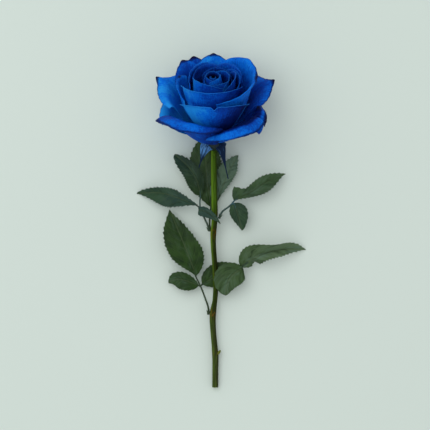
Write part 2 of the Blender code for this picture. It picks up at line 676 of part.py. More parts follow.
LEAVES = {
    "leaf_lower_left": Leaf(
        seat=(314.5, 180),
        stalks=(
            ((208.2, 307.3, 6.6), (204.2, 295.5, 7.0), (200.4, 286.0, 6.6),
             (196.2, 277.5, 6.6), (193.8, 271.5, 7.4)),
            ((200.6, 286.5, 6.6), (198.0, 285.2, 6.6), (193.6, 283.2, 7.0)),
            ((200.6, 286.0, 6.4), (203.0, 283.6, 5.0), (206.5, 281.4, 4.2)),
        ),
        leaflets={
            "terminal": Leaflet(((195.4, 276.0, 6.8), (190.0, 255.7, 11.0),
                                 (180.7, 237.4, 12.0), (169.6, 209.8, 5.0)),
                                left=(15.2, 0.55, 1.0), right=(12.3, 0.38, 1.2), fold=12,
                                teeth=7),
            "left": Leaflet(((198.6, 285.4, 6.6), (185.0, 280.4, 9.0), (177.0, 275.1, 9.0),
                             (168.8, 283.0, 4.0)), left=(8.8, 0.42, 0.85),
                            right=(6.6, 0.50, 0.76), fold=14, teeth=5),
            "right": Leaflet(((202.4, 284.0, 5.2), (213.0, 277.0, 3.0), (228.0, 272.0, 3.4),
                              (237.5, 265.4, 5.0)), left=(10.3, 0.42, 0.84),
                             right=(8.8, 0.46, 0.77), fold=4, teeth=5),
        },
    ),
    "leaf_lower_right": Leaf(
        seat=(276.5, 20),
        stalks=(
            ((221.5, 274.0, 8.6), (231.0, 270.5, 8.6), (239.5, 268.2, 9.0),
             (243.6, 265.4, 10.0), (248.0, 262.2, 11.6)),
            ((238.4, 268.6, 8.9), (241.2, 269.6, 9.9), (242.6, 269.6, 12.4)),
        ),
        leaflets={
            "far_right": Leaflet(((241.2, 267.0, 9.4), (256.9, 254.1, 15.0),
                                  (276.0, 246.7, 16.0), (305.5, 249.5, 0.0)),
                                 left=(13.9, 0.40, 0.9), right=(6.9, 0.41, 0.95), fold=18,
                                 turns=((LEFT, 0.6, 0.3, 50), (RIGHT, 0.21, 0.09, -80)),
                                 teeth=7),
            "before_stem": Leaflet(((243.2, 268.6, 11.0), (240.5, 268.8, 13.5),
                                    (224.0, 276.0, 14.5), (225.8, 295.4, 11.5)),
                                   left=(10.1, 0.41, 0.58), right=(12.4, 0.62, 0.76),
                                   fold=8, teeth=5),
        },
    ),
    "leaf_upper_left": Leaf(
        seat=(231.0, 180),
        stalks=(
            ((207.6, 225.0, 10.2), (204.6, 218.5, 10.6), (200.2, 209.4, 10.8),
             (197.6, 206.0, 10.9), (192.6, 203.6, 11.4)),
            ((200.4, 209.8, 10.8), (199.9, 203.0, 10.4), (200.4, 195.0, 9.8),
             (200.2, 189.5, 9.9)),
            ((200.4, 209.6, 10.8), (201.8, 210.2, 11.4), (204.0, 210.6, 12.4)),
        ),
        leaflets={
            "far_left": Leaflet(((197.2, 205.6, 11.0), (168.0, 194.6, 13.5),
                                 (166.7, 190.5, 13.0), (137.0, 193.6, 0.0)),
                                left=(10.5, 0.50, 1.2), right=(5.6, 0.52, 0.55), fold=18,
                                roll_base=8, roll_tip=-8, teeth=6),
            "upper": Leaflet(((200.5, 195.6, 9.6), (197.5, 176.0, 11.5),
                              (193.3, 170.5, 12.0), (174.6, 154.4, 8.0)),
                             left=(8.7, 0.46, 0.45), right=(7.0, 0.47, 0.66), fold=16,
                             roll_base=-20, roll_tip=10, teeth=6),
            "before_stem": Leaflet(((198.6, 209.8, 10.8), (203.0, 209.6, 14.8),
                                    (214.0, 215.0, 15.6), (220.4, 223.9, 13.6)),
                                   left=(3.5, 0.34, 0.85), right=(4.8, 0.25, 1.0), fold=22,
                                   teeth=4),
        },
    ),
    "leaf_upper_back": Leaf(
        seat=(231.5, 222),
        stalks=(
            ((209.7, 224.0, 7.4), (209.9, 214.0, 6.8), (210.8, 207.0, 6.2),
             (210.0, 198.0, 6.2)),
            ((210.6, 209.0, 6.4), (214.0, 204.5, 6.0), (218.0, 199.5, 6.0),
             (220.4, 194.5, 6.6)),
        ),
        leaflets={
            "terminal": Leaflet(((210.7, 206.8, 6.2), (207.0, 180.0, 6.6),
                                 (204.5, 165.0, 6.2), (205.6, 133.0, 3.4)),
                                left=(14.4, 0.51, 0.8), right=(13.2, 0.55, 0.74), fold=3,
                                teeth=7),
            "right": Leaflet(((217.4, 200.6, 6.0), (229.0, 170.0, 7.6), (227.5, 174.0, 8.2),
                              (238.2, 155.4, 5.5)), left=(10.2, 0.3, 0.6),
                             right=(6.3, 0.52, 1.05), fold=8, teeth=6),
        },
    ),
    "leaf_upper_right": Leaf(
        seat=(218.5, 12),
        stalks=(
            ((222.2, 211.8, 10.8), (227.8, 207.5, 10.9), (232.0, 203.6, 10.8),
             (234.6, 200.4, 10.9), (238.6, 197.4, 11.6)),
            ((232.0, 203.6, 10.8), (234.6, 204.6, 10.8), (235.8, 208.6, 11.2)),
        ),
        leaflets={
            "far_right": Leaflet(((234.0, 200.6, 10.8), (254.5, 191.9, 15.0),
                                  (262.5, 181.2, 15.0), (285.3, 174.0, 6.0)),
                                 left=(6.5, 0.54, 0.82), right=(7.7, 0.56, 1.2), fold=24,
                                 swellings=((LEFT, 0.10, 0.11, 8.5),), teeth=7),
            "hanging": Leaflet(((234.2, 203.0, 10.6), (236.7, 211.8, 12.5),
                                (238.6, 216.8, 11.5), (242.1, 230.4, 6.0)),
                               left=(8.5, 0.44, 0.66), right=(5.8, 0.38, 0.87), fold=14,
                               teeth=5),
        },
    ),
}


def leaf(name, plan, colour):
    """One compound leaf, its leaflets fused to the stalks that carry them."""
    pieces = []
    for k, stalk in enumerate(plan.stalks):
        points = [place(*point) for point in stalk]
        if k == 0:
            row, angle = plan.seat
            points.insert(0, beside_stem(row, angle, STALK_RADIUS))
        path = smooth_path(points, 2 if k == 0 else 1)
        start = STALK_RADIUS if k == 0 else SIDE_STALK_RADIUS
        radii = np.linspace(start, STALK_TIP_RADIUS, len(path))
        pieces.append(tube_object(name + "_stalk", path, radii, STALK_SIDES))
    for part, leaflet in plan.leaflets.items():
        pieces.append(leaflet_object(name + "_" + part, leaflet))
    return joined(name, pieces, colour)


def leaves():
    """The five leaves, each a body of its own in one shared green."""
    green = material("leaf_green", (0.02, 0.055, 0.025), 0.5)
    for name, plan in LEAVES.items():
        leaf(name, plan, green)


def main():
    clear_scene()
    stem()
    calyx()
    bloom()
    leaves()


main()
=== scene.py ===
"""A dyed blue rose that lies on a pale floor: its looks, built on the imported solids.

Every petal, leaflet, sepal and stalk follows the same plan as its solid, with a finer surface
and a finish of its own. +Z is up and +Y runs along the stem towards the flower. Lengths below
are millimetres and angles degrees, unless a name says otherwise.

The flower has a frame of its own. Its axis leaves the top of the hip, and a place in it is a
radius and a height along the axis, with an azimuth that is 0 towards the viewer, 90 to the
right, 180 towards the surface and 270 to the left.
"""

import math
from dataclasses import dataclass
from functools import partial

import bpy
import numpy as np
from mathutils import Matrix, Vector


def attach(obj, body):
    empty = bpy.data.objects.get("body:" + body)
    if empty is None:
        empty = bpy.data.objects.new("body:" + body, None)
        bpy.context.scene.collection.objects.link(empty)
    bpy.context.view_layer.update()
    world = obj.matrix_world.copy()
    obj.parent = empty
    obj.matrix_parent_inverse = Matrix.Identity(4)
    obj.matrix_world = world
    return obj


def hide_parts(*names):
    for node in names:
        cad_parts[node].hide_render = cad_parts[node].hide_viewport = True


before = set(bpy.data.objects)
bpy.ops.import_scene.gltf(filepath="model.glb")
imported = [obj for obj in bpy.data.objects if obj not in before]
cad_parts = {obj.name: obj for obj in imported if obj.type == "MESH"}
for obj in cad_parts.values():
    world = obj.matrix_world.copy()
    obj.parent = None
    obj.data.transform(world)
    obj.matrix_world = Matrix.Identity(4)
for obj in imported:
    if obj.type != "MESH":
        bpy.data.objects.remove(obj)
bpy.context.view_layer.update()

MM = 0.001
SKYWARD = np.array((0.0, 0.0, 1.0))
SHARP_ANGLE = 50.0
RINGS_EACH = 8                    # between two given points of a stem or stalk
SMALL_RINGS_EACH = 6

# The photograph, which sets places across the picture: pixels as seen from straight above
PIXEL = 0.8
PICTURE_SIZE = 430
PICTURE_CENTRE = PICTURE_SIZE / 2
ORIGIN_PIXEL = (221.275, 220.89)
VIEW_HEIGHT = 3000.0
CAMERA_PLACE = ((PICTURE_CENTRE - ORIGIN_PIXEL[0]) * PIXEL,
                (ORIGIN_PIXEL[1] - PICTURE_CENTRE) * PIXEL, VIEW_HEIGHT)

# The flower
FLOWER_PIXEL = (214.0, 139.0)
FLOWER_HEIGHT = 22.0
FLOWER_TILT = 38.0
CORE_SIDES = 48
CORE_DEPTH = 20.0                 # how far from a rim the core's finish takes it to be
POINT_WIDTH = 0.1
TIP_WIDTH = 0.3
PROFILE_STEPS = 80
PRESSED_HEIGHT = 0.4
PETAL_THICKNESS = (0.28, 0.55)    # at the rim, and further in
RIM_TAPER = 8.0
ROW_CROWDING = 1.5                # above 1, a petal's rows lie closer together near its rim
FLUTTER = 0.3
FLUTTER_PACES = (9.0, 23.0)

# The hip and the sepals under the flower
HIP_LENGTH = 10.0
HIP_SIDES = 40
SEPAL_ROWS = 48
SEPAL_COLUMNS = 12
SEPAL_THICKNESS = 0.5

# The stem
STEM_SIDES = 32
STEM_HEIGHTS = (2.45, 12.5)       # at the foot and at the neck
STEM_TOP_GAP = 0.3
NECK_RADIUS = 2.4
NECK_STEPS = 4
NECK_END = 1.5
NECK_PULLS = (9, 5)               # how far the neck keeps the stem's and the flower's direction
STEM_SHARE = 0.97                 # of its radius, between the nodes
NODE_SWELLING = 0.035
NODE_SPREAD = 3.0
NODE_HEIGHT = 5.0

# The leaves' blades
LEAFLET_THICKNESS = (0.22, 0.45)  # at the margin, and further in
MARGIN_TAPER = 2.0
LEAST_WIDTH = 0.4
LEFT, RIGHT = 1, -1
LEAFLET_COLUMNS = 20
TOOTH_SPACING = 3.3
TOOTH_ROWS = 6
TOOTH_REACH = 1.2
FULL_TEETH = 14
TEETH_GROW, TEETH_FADE = 8, 14    # how soon they grow from the base, and fade at the tip
TOOTH_HOOK = 1.3                  # above 1, the teeth point towards the tip
MARGIN_WAVE = 0.45
MARGIN_WAVE_PACE = 0.55           # for each tooth
MARGIN_LIFT = 0.35
MARGIN_LIFT_PACE = 22
VEINS = 8.0
VEIN_SLANT = 0.85
VEIN_BEND = 0.5                   # how much further they slant at the margin
VEIN_STAGGER = 0.5                # between those of the two halves
MIDRIB_DEPTH = 0.28
MIDRIB_WIDTH = 0.7
MIDRIB_FADE = 0.5
QUILTING = 0.14
QUILTING_FULLNESS = 0.7           # lower values make the swellings broader
QUILTING_GROWS = 30               # how soon it starts beside the midrib
WANDER = 0.25
LEAST_OUT = 0.05

# The leaves' stalks
STALK_SIDES = 14
STALK_TIP_RADIUS = 0.52
FIRST_STALK = (0.8, 0.35, 0.3)    # its foot's radius, swelling and share of the blue stain
SIDE_STALK = (0.62, 0.0, 1.0)
STALK_FOOT_RINGS = 4
SEAT_GAP = 0.4
SMALL_SIDES = 6
FIRST_PRICKLE = 6
PRICKLE_SPACING = 7
PRICKLE_REACH = 1.2
PRICKLE_LEAN = 0.4
PRICKLE_BEND = 0.1
PRICKLE_RADII = (0.5, 0.26, 0.08)
STIPULE_REACH = (1.6, 2.4)        # outward, and along the stalk
STIPULE_BEND = 0.35
STIPULE_RADII = (0.5, 0.55, 0.08)


def place(across, down, height):
    """The point at a height above the surface that a pixel of the photograph shows."""
    scale = PIXEL * (VIEW_HEIGHT - height) / VIEW_HEIGHT
    x = (across - PICTURE_CENTRE) * scale + CAMERA_PLACE[0]
    y = (PICTURE_CENTRE - down) * scale + CAMERA_PLACE[1]
    return np.array((x, y, height))


def flower_to_world(points):
    """Turn points of the flower's frame (right, front, along the axis) into world points."""
    tilt = math.radians(FLOWER_TILT)
    right, front, along = points[..., 0], points[..., 1], points[..., 2]
    y = along * math.cos(tilt) - front * math.sin(tilt)
    z = along * math.sin(tilt) + front * math.cos(tilt)
    return place(*FLOWER_PIXEL, FLOWER_HEIGHT) + np.stack([right, y, z], axis=-1)


def flower_direction(right, front, along):
    """A direction of the flower's frame, as a world direction of length 1."""
    return unit(flower_to_world(np.array((right, front, along))) - flower_to_world(np.zeros(3)))


def bezier(points, steps):
    """Points along one cubic curve through its first and last control point."""
    p0, p1, p2, p3 = (np.array(point, float) for point in points)
    t = np.linspace(0.0, 1.0, steps)[:, None]
    s = 1.0 - t
    return s**3 * p0 + 3 * s**2 * t * p1 + 3 * s * t**2 * p2 + t**3 * p3


def smooth_path(points, steps_each):
    """A smooth curve through given points, with an even number of steps between them."""
    points = np.array(points, float)
    before = 2 * points[0] - points[1]
    after = 2 * points[-1] - points[-2]
    padded = np.vstack([before, points, after])
    path = []
    for k in range(len(points) - 1):
        a, b, c, d = padded[k:k + 4]
        for t in np.arange(steps_each) / steps_each:
            path.append(0.5 * (2 * b + (c - a) * t + (2 * a - 5 * b + 4 * c - d) * t**2
                               + (3 * b - a - 3 * c + d) * t**3))
    path.append(points[-1])
    return np.array(path)


def bump(s, middle, spread):
    """A smooth rise from 0 to 1 and back about a middle."""
    return np.exp(-((s - middle) / spread) ** 2)


def smooth_share(value, start, end):
    """How far a value has come from start to end, from 0 to 1 with soft ends."""
    share = np.clip((value - start) / (end - start), 0, 1)
    return share * share * (3 - 2 * share)


def between(ends, share):
    """A value that lies some share of the way between the two of a pair."""
    return ends[0] + (ends[1] - ends[0]) * share


def unit(vectors):
    """Vectors brought to length 1 along the last axis."""
    return vectors / np.maximum(np.linalg.norm(vectors, axis=-1, keepdims=True), 1e-9)


def lengths_along(points):
    """Distances along a line of points, or along each column of a sheet, from its start."""
    steps = np.linalg.norm(np.diff(points, axis=0), axis=-1)
    return np.concatenate([np.zeros_like(steps[:1]), np.cumsum(steps, axis=0)])


def on_both_sides(shape, **values):
    """Values of a sheet, each repeated for the upper and the lower points of its blade."""
    return {title: np.tile(np.broadcast_to(numbers, shape).ravel(), 2)
            for title, numbers in values.items()}


def put_in_scene(name, data):
    """A new object that shows a mesh, a lamp or a camera."""
    made = bpy.data.objects.new(name, data)
    bpy.context.scene.collection.objects.link(made)
    return made


def make_piece(name, shape, values, finish, node):
    """A piece of the rose from points in millimetres, with values at its points for its finish."""
    vertices, faces = shape
    mesh = bpy.data.meshes.new(name)
    mesh.from_pydata((vertices * MM).tolist(), [], [list(face) for face in faces])
    for title, numbers in values.items():
        attribute = mesh.attributes.new(title, "FLOAT", "POINT")
        attribute.data.foreach_set("value", np.asarray(numbers, np.float32))
    mesh.shade_smooth()
    mesh.set_sharp_from_angle(angle=math.radians(SHARP_ANGLE))
    mesh.materials.append(finish)
    piece = put_in_scene(name, mesh)
    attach(piece, "root")
    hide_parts(node)


def blade(sheet, thickness):
    """Points and faces of a closed blade about a sheet, its upper points before its lower ones."""
    normal = unit(np.cross(np.gradient(sheet, axis=0), np.gradient(sheet, axis=1)))
    half = np.broadcast_to(thickness, sheet.shape[:2])[..., None] / 2
    upper = (sheet + normal * half).reshape(-1, 3)
    lower = (sheet - normal * half).reshape(-1, 3)
    rows, columns = sheet.shape[:2]
    count = rows * columns
    index = np.arange(count).reshape(rows, columns)
    a, b = index[:-1, :-1].ravel(), index[:-1, 1:].ravel()
    d, e = index[1:, :-1].ravel(), index[1:, 1:].ravel()
    faces = [*zip(a, d, e, b), *zip(a + count, b + count, e + count, d + count)]
    border = np.concatenate([index[0, :-1], index[:-1, -1], index[-1, :0:-1], index[:0:-1, 0]])
    after = np.roll(border, -1)
    faces += zip(border, after, after + count, border + count)
    return np.vstack([upper, lower]), faces


def ring_faces(rings, sides):
    """Faces that join rings of points, with a flat face on the first and the last ring."""
    index = np.arange(rings * sides).reshape(rings, sides)
    after = np.roll(index, -1, axis=1)
    walls = np.stack([index[:-1], after[:-1], after[1:], index[1:]], axis=-1)
    return [index[0, ::-1], index[-1], *walls.reshape(-1, 4)]


def tube(path, radii, sides):
    """Points and faces of a closed round tube, with its rings in order along the path."""
    forward = unit(np.gradient(path, axis=0))
    side = unit(np.cross(forward, SKYWARD))
    up = np.cross(side, forward)
    angles = np.arange(sides) * 2 * math.pi / sides
    round_ring = (np.cos(angles)[None, :, None] * side[:, None, :]
                  + np.sin(angles)[None, :, None] * up[:, None, :])
    vertices = path[:, None, :] + np.asarray(radii)[:, None, None] * round_ring
    return vertices.reshape(-1, 3), ring_faces(len(path), sides)


def turned(profile, sides):
    """Points and faces turned about the flower's axis from (radius, height) pairs."""
    angles = np.arange(sides) * 2 * math.pi / sides
    profile = np.asarray(profile, float)
    ring = np.stack([np.sin(angles), np.cos(angles), np.zeros(sides)], axis=-1)
    points = profile[:, 0, None, None] * ring[None]
    points[..., 2] += profile[:, 1, None]
    return flower_to_world(points).reshape(-1, 3), ring_faces(len(profile), sides)


def joined_shapes(shapes):
    """Points and faces of several closed shapes, one after another."""
    vertices, faces, start = [], [], 0
    for points, around in shapes:
        vertices.append(points)
        faces += [[start + k for k in face] for face in around]
        start += len(points)
    return np.vstack(vertices), faces


@dataclass
class Petal:
    """One petal of the flower, as a sheet that rises from its root and rolls over at its rim."""

    name: str
    azimuth: float
    half_span: float
    profile: tuple               # four (radius, height) control points, from root to crest
    roll: float = 90.0           # how far the rim turns outward past the crest
    roll_length: float = 5.0
    roll_ends: tuple = (0.65, 0.65)   # share of the roll's length at the two sides
    crown: tuple = (8.0, 8.0)    # how much lower the two sides end than the tip
    peak: float = 2.5            # 1 gives a pointed petal, 3 one with square shoulders
    tip_at: float = 0.0          # where the tip is, from -1 at one side to 1 at the other
    point: float = 0.0           # length of the small point at the tip
    lean: float = 0.0            # how much higher the second side stands than the first
    wrap: float = 0.0            # how much further out the second side lies than the first
    flare: float = 0.0           # how far the tip is drawn outward
    flare_width: float = 0.3
    tip_flat: float = 0.0        # how much less the rim turns at the tip, as a share
    ruffle: float = 0.0
    waves: float = 3.0
    phase: float = 0.0
    uneven: float = 0.3
    taper: float = 0.45          # how much narrower the root is than the rim
    narrowing: float = 1.5       # lower values draw the sides in nearer the rim
    nicks: tuple = ()            # small notches in the rim: (place, depth, width)
    centre: float = 0.0          # how far to the right of the axis the rim's centre is
    pressed: bool = False        # lies on the surface, which flattens it


# The petals, ring by ring. Those of a ring share a habit, and each names what differs in it
BACK_ROOT = ((7, 3), (23, 3))
SECOND_ROOT = ((11, 12), (24, 12))
SIDE_ROOT = ((11, 12), (23, 14))
CUP_ROOT = ((11, 20), (21, 20))
BUD_ROOT = ((9, 30), (16, 30))
HEART_ROOT = ((7, 34), (12, 34))
SPIRAL_ROOT = ((5, 38), (8, 38))

guard_petal = partial(Petal, roll=125, roll_length=10, peak=2.2, ruffle=0.5, taper=0.2)
GUARD_PETALS = [
    guard_petal("front_right", 41, 55, ((7, 4), (20, 8), (29, 18), (31.5, 30)), roll=150,
                roll_length=19, roll_ends=(0.2, 0.15), crown=(11, 0), peak=2.4, wrap=3, waves=4,
                phase=0.6, nicks=((0.45, 4, 0.04), (0.58, 4, 0.04))),
    guard_petal("front_left", -37, 49, ((7, 3), (23, 7), (30, 20), (33.5, 34)), roll_length=18,
                roll_ends=(1.1, 0.15), crown=(11, 5), lean=4, wrap=-2, ruffle=0.4, phase=2.0),
    guard_petal("back_left", -124, 42, BACK_ROOT + ((33, 11), (34, 23)), crown=(5, 6), wrap=4,
                phase=1.0),
    guard_petal("back", 180, 42, BACK_ROOT + ((39, 8), (43, 19)), roll=110, roll_length=6,
                crown=(5, 5), ruffle=0.3, phase=3.0, pressed=True),
    guard_petal("back_right", 116, 42, BACK_ROOT + ((33, 10), (33, 18)), crown=(6, 5), phase=4.0),
    guard_petal("front_lining", 4, 44, ((10, 11), (19, 12), (26, 20), (28.5, 28)), roll=30,
                roll_length=3, crown=(6, 6), peak=2.4, ruffle=0.2, phase=3.3, taper=0.3),
]

second_petal = partial(Petal, roll=50, roll_length=10, ruffle=0.3)
SECOND_PETALS = [
    second_petal("left", -105.5, 32, SIDE_ROOT + ((26, 28), (36.5, 39.5)), roll=115,
                 roll_length=10.5, roll_ends=(0.65, 0.5), crown=(0, 2), peak=1.8, tip_at=-0.37,
                 point=2, wrap=-3, flare=4, flare_width=0.2, tip_flat=0.45, phase=1.0, taper=0.05),
    second_petal("right", 112, 30, SIDE_ROOT + ((26, 28), (38, 38)), roll=60, crown=(5, 2),
                 peak=1.8, point=2, wrap=2, flare=3, tip_flat=0.6, phase=2.0, taper=0.1),
    second_petal("far_left", -144, 33, SECOND_ROOT + ((30, 30), (34.5, 44.5)),
                 roll_ends=(0.65, 0.3), crown=(7, 7), peak=1.7, tip_at=0.05, point=1.5, wrap=-3,
                 ruffle=0.4, phase=1.0),
    second_petal("far_tip", -154.5, 30, ((11, 11), (24, 12), (32, 30), (37, 44.5)), crown=(12, 12),
                 peak=1.2, tip_at=-0.1, point=0.5, phase=5.0),
    second_petal("far", 181, 38, ((11, 14), (23, 14), (28, 32), (31, 49)), roll=45, crown=(12, 12),
                 peak=1.3, point=1, phase=5.0),
]

cup_petal = partial(Petal, roll=40, roll_length=3, crown=(5, 5))
CUP_PETALS = [
    cup_petal("cup_front_low", 2, 58, ((12, 16), (25, 16), (30, 34), (31, 52)), roll=70,
              roll_length=5, crown=(8, 7), lean=-1, taper=0.85, narrowing=0.8,
              nicks=((-0.03, 3, 0.05),)),
    cup_petal("cup_right", 88, 87, ((11, 20), (23, 20), (27, 42), (30, 59.5)), roll=80,
              roll_length=5, crown=(10.5, 9), peak=2.2, tip_at=0.48, point=1.5, lean=-3, wrap=3,
              taper=0.4, centre=1),
    cup_petal("cup_front", -2, 79, ((11, 20), (20, 20), (23, 42), (24, 60.5)), roll=60,
              roll_length=4, crown=(7, 7), wrap=-1.5, taper=0.4),
    cup_petal("cup_left", -96, 36, ((11, 20), (22, 20), (26.5, 40), (28, 50.5)), roll=55,
              roll_length=4, crown=(5, 4), wrap=-1, taper=0.4),
    cup_petal("cup_far_left", -138, 56, CUP_ROOT + ((21, 42), (21, 57)), wrap=-2.5),
    cup_petal("cup_far_left_inner", -150, 50, ((11, 22), (17, 22), (18.5, 42), (18.5, 57)),
              wrap=-2),
    cup_petal("cup_far_right", 141.3, 40, ((11, 22), (20, 22), (21.5, 42), (22, 56)),
              roll_length=4, crown=(6, 5)),
    cup_petal("cup_far_right_inner", 105, 50, ((11, 24), (18, 24), (19.5, 42), (19.5, 57))),
]

bud_petal = partial(Petal, roll=50, roll_length=3, uneven=0.15)
BUD_PETALS = [
    bud_petal("bud_left", -32, 60, BUD_ROOT + ((17, 46), (15.5, 61.5)), crown=(4, 4)),
    bud_petal("bud_right", 78, 54, BUD_ROOT + ((17.5, 46), (16.5, 61)), crown=(6, 6)),
    bud_petal("bud_far", 160, 62, ((9, 30), (14, 30), (14.5, 46), (14, 58)), roll=20,
              roll_length=2, crown=(5, 5)),
]

heart_petal = partial(Petal, roll=20, roll_length=1.5, crown=(4, 4), uneven=0.1)
spiral_petal = partial(Petal, roll=20, roll_length=1, crown=(3, 3), uneven=0.1, centre=-1)
HEART_PETALS = [
    heart_petal("heart_front", 20, 80, HEART_ROOT + ((12, 48), (10, 59)), roll=25, centre=1.5),
    heart_petal("heart_right", 111, 80, HEART_ROOT + ((12, 48), (10, 60)), centre=2),
    heart_petal("heart_left", -130, 80, ((7, 34), (11, 34), (10.5, 48), (8.5, 59.5)), centre=1),
    spiral_petal("spiral_right", 60, 85, SPIRAL_ROOT + ((8, 50), (6, 61.5))),
    spiral_petal("spiral_left", -60, 85, SPIRAL_ROOT + ((7.5, 50), (5.5, 61))),
    spiral_petal("spiral_far", 180, 85, SPIRAL_ROOT + ((7.5, 50), (5.5, 61.5)), roll=15),
    spiral_petal("eye", -20, 150, ((3, 40), (5, 40), (4.5, 50), (2.2, 60)), roll=10, crown=(1, 1),
                 wrap=0.8, uneven=0.0, centre=-1.5),
]

INNER_PETALS = BUD_PETALS + HEART_PETALS
PETALS = GUARD_PETALS + SECOND_PETALS + CUP_PETALS + INNER_PETALS
INNER_GRID = (30, 40)
OUTER_GRID = (44, 52)
WIDE_GRID = (44, 84)
WIDE_PETALS = ("cup_front_low", "cup_right", "cup_front", "front_right")

# The hidden disc and dome that all petals grow from
CORE_PROFILE = [(3.4, -1.0), (7.0, 1.2), (9.2, 3.0), (12.2, 8.0), (13.4, 14.0),
                (13.2, 24.0), (11.2, 31.0), (8.6, 37.0), (5.4, 41.5), (1.5, 44.0)]


@dataclass
class DyeAndShade:
    """How one petal is dyed and where light and shade are painted on it, and how its rim has
    changed.
    """

    sides: tuple = (0.1, 0.1)    # how much lighter than middling its left and right side are: its own tone, with painted light and shade for how the lamp falls on each side
    deepening_and_shade: float = 0.5       # how far it darkens towards its root inside: a deeper blue and painted shade in the flower's hollow
    dark_rim: float = 0.0        # how many millimetres of its rim have darkened
    pale_rim: float = 0.0        # how light the line along its rim is: a painted highlight where light catches the rim, partly a paler thin edge
    darkest: float = 0.0         # where across it the rim is darkest
    fold_shade: float = 0.0      # how dark the painted shade on its inner face below the crest of its roll is
    end_shade: float = 0.0       # how dark the painted shade on its right side is


PLAIN_DYE_AND_SHADE = DyeAndShade(pale_rim=0.3)
HEART_DYE_AND_SHADE = DyeAndShade((-0.3, -0.3), 1.6, pale_rim=0.45)
# Each petal's sides carry painted light where it is turned to the lamp and painted shade where it
# is turned away
PETAL_DYES_AND_SHADES = {
    "front_right": DyeAndShade((0.6, 0.35), dark_rim=2.0, darkest=0.55, fold_shade=1.6),
    "front_left": DyeAndShade((-0.1, 0.9), dark_rim=3.0, darkest=-1.0, end_shade=1.6),
    "back_left": DyeAndShade((1.5, 1.3), 0.3, dark_rim=0.8),
    "back": DyeAndShade(dark_rim=0.8),
    "back_right": DyeAndShade(dark_rim=0.8),
    "front_lining": DyeAndShade((-0.5, -0.5)),
    "left": DyeAndShade((0.65, 1.25), 0.05, dark_rim=1.0, darkest=-0.37),
    "right": DyeAndShade((0.2, 0.2), 0.7, dark_rim=1.1),
    "far_left": DyeAndShade((0.4, -0.1), 0.6, dark_rim=0.8),
    "far_tip": DyeAndShade((-0.1, -0.1), 0.6, dark_rim=1.2, darkest=-0.1),
    "far": DyeAndShade((0.7, 1.0), 0.6, dark_rim=0.7),
    "cup_front_low": DyeAndShade((1.9, -1.6), 0.6, pale_rim=0.7),
    "cup_right": DyeAndShade((0.65, 0.65), dark_rim=0.6),
    "cup_front": DyeAndShade((1.1, -0.8), 0.6, pale_rim=0.5),
    "cup_left": DyeAndShade((0.6, 0.6), 0.2, dark_rim=0.5, pale_rim=0.1, darkest=-0.5),
    "cup_far_left_inner": DyeAndShade((-0.5, -0.3), 0.8, pale_rim=0.2),
    "bud_left": DyeAndShade((1.1, -0.7), 0.9, pale_rim=0.5),
    "bud_right": DyeAndShade((-0.3, -0.3), 0.8, pale_rim=0.4),
    "bud_far": DyeAndShade((-0.7, -0.2), 0.8, pale_rim=0.2),
    "heart_left": DyeAndShade((-0.7, -0.5), 1.6, pale_rim=0.3),
    "heart_right": DyeAndShade((0.1, 0.1), 0.7, pale_rim=0.5),
    "spiral_right": DyeAndShade((0.1, 0.1), 0.7, pale_rim=0.5),
}

# Where the colour and the painted light and shade change: millimetres from the rim, for the fold
# shares of the roll's length, and for the end places across the petal
INNER_DEEPENING_AND_SHADE = (0.8, 7.0)
OUTER_DEEPENING_AND_SHADE = (3.0, 24.0)
LIP_HIGHLIGHT_SPAN = (4.5, 1.0)
LIP_HIGHLIGHT_STRENGTH = 0.4
BASE_SHADE_RISES = (5.0, 20.0)
BASE_SHADE = 0.35
FOLD_SHADE_RISES = (0.36, 0.55)
FOLD_SHADE_FADES = (1.3, 0.8)
END_SHADE_RISES = (0.15, 0.9)
DARK_RIM_WIDTH = 0.8
LEAST_DARK = 0.3
DARK_SPOT = 2.0
DARK_SPOT_WIDTH = 0.12


def petal_grid(petal):
    """Places on a petal: u from -1 to 1 across it, v from 0 at the root to 1 at the rim."""
    rows, columns = OUTER_GRID
    if petal in INNER_PETALS:
        rows, columns = INNER_GRID
    elif petal.name in WIDE_PETALS:
        rows, columns = WIDE_GRID
    left = round(columns * (1 + petal.tip_at) / 2)
    across = np.concatenate([np.linspace(-1, petal.tip_at, left + 1),
                             np.linspace(petal.tip_at, 1, columns - left + 1)[1:]])
    up = 1 - (1 - np.linspace(0, 1, rows + 1)) ** ROW_CROWDING
    return np.meshgrid(across, up)


def by_side(u, pair):
    """The first of a pair to the left of the middle, and the second to its right."""
    return np.where(u > 0, pair[1], pair[0])


def rim_drop(petal, u):
    """How much sooner the petal ends than its profile, at each place across it."""
    past_tip = u - petal.tip_at
    beyond = np.abs(past_tip) / by_side(past_tip, (1 + petal.tip_at, 1 - petal.tip_at))
    drop = by_side(past_tip, petal.crown) * beyond ** petal.peak - petal.lean * u
    drop = drop - petal.point * bump(u, petal.tip_at, POINT_WIDTH)
    for at, depth, width in petal.nicks:
        drop = drop + depth * bump(u, at, width)
    return drop


def roll_reach(petal, u):
    """How far from its rim the petal starts to roll, at each place across it."""
    return petal.roll_length * (1 + (by_side(u, petal.roll_ends) - 1) * u**2)


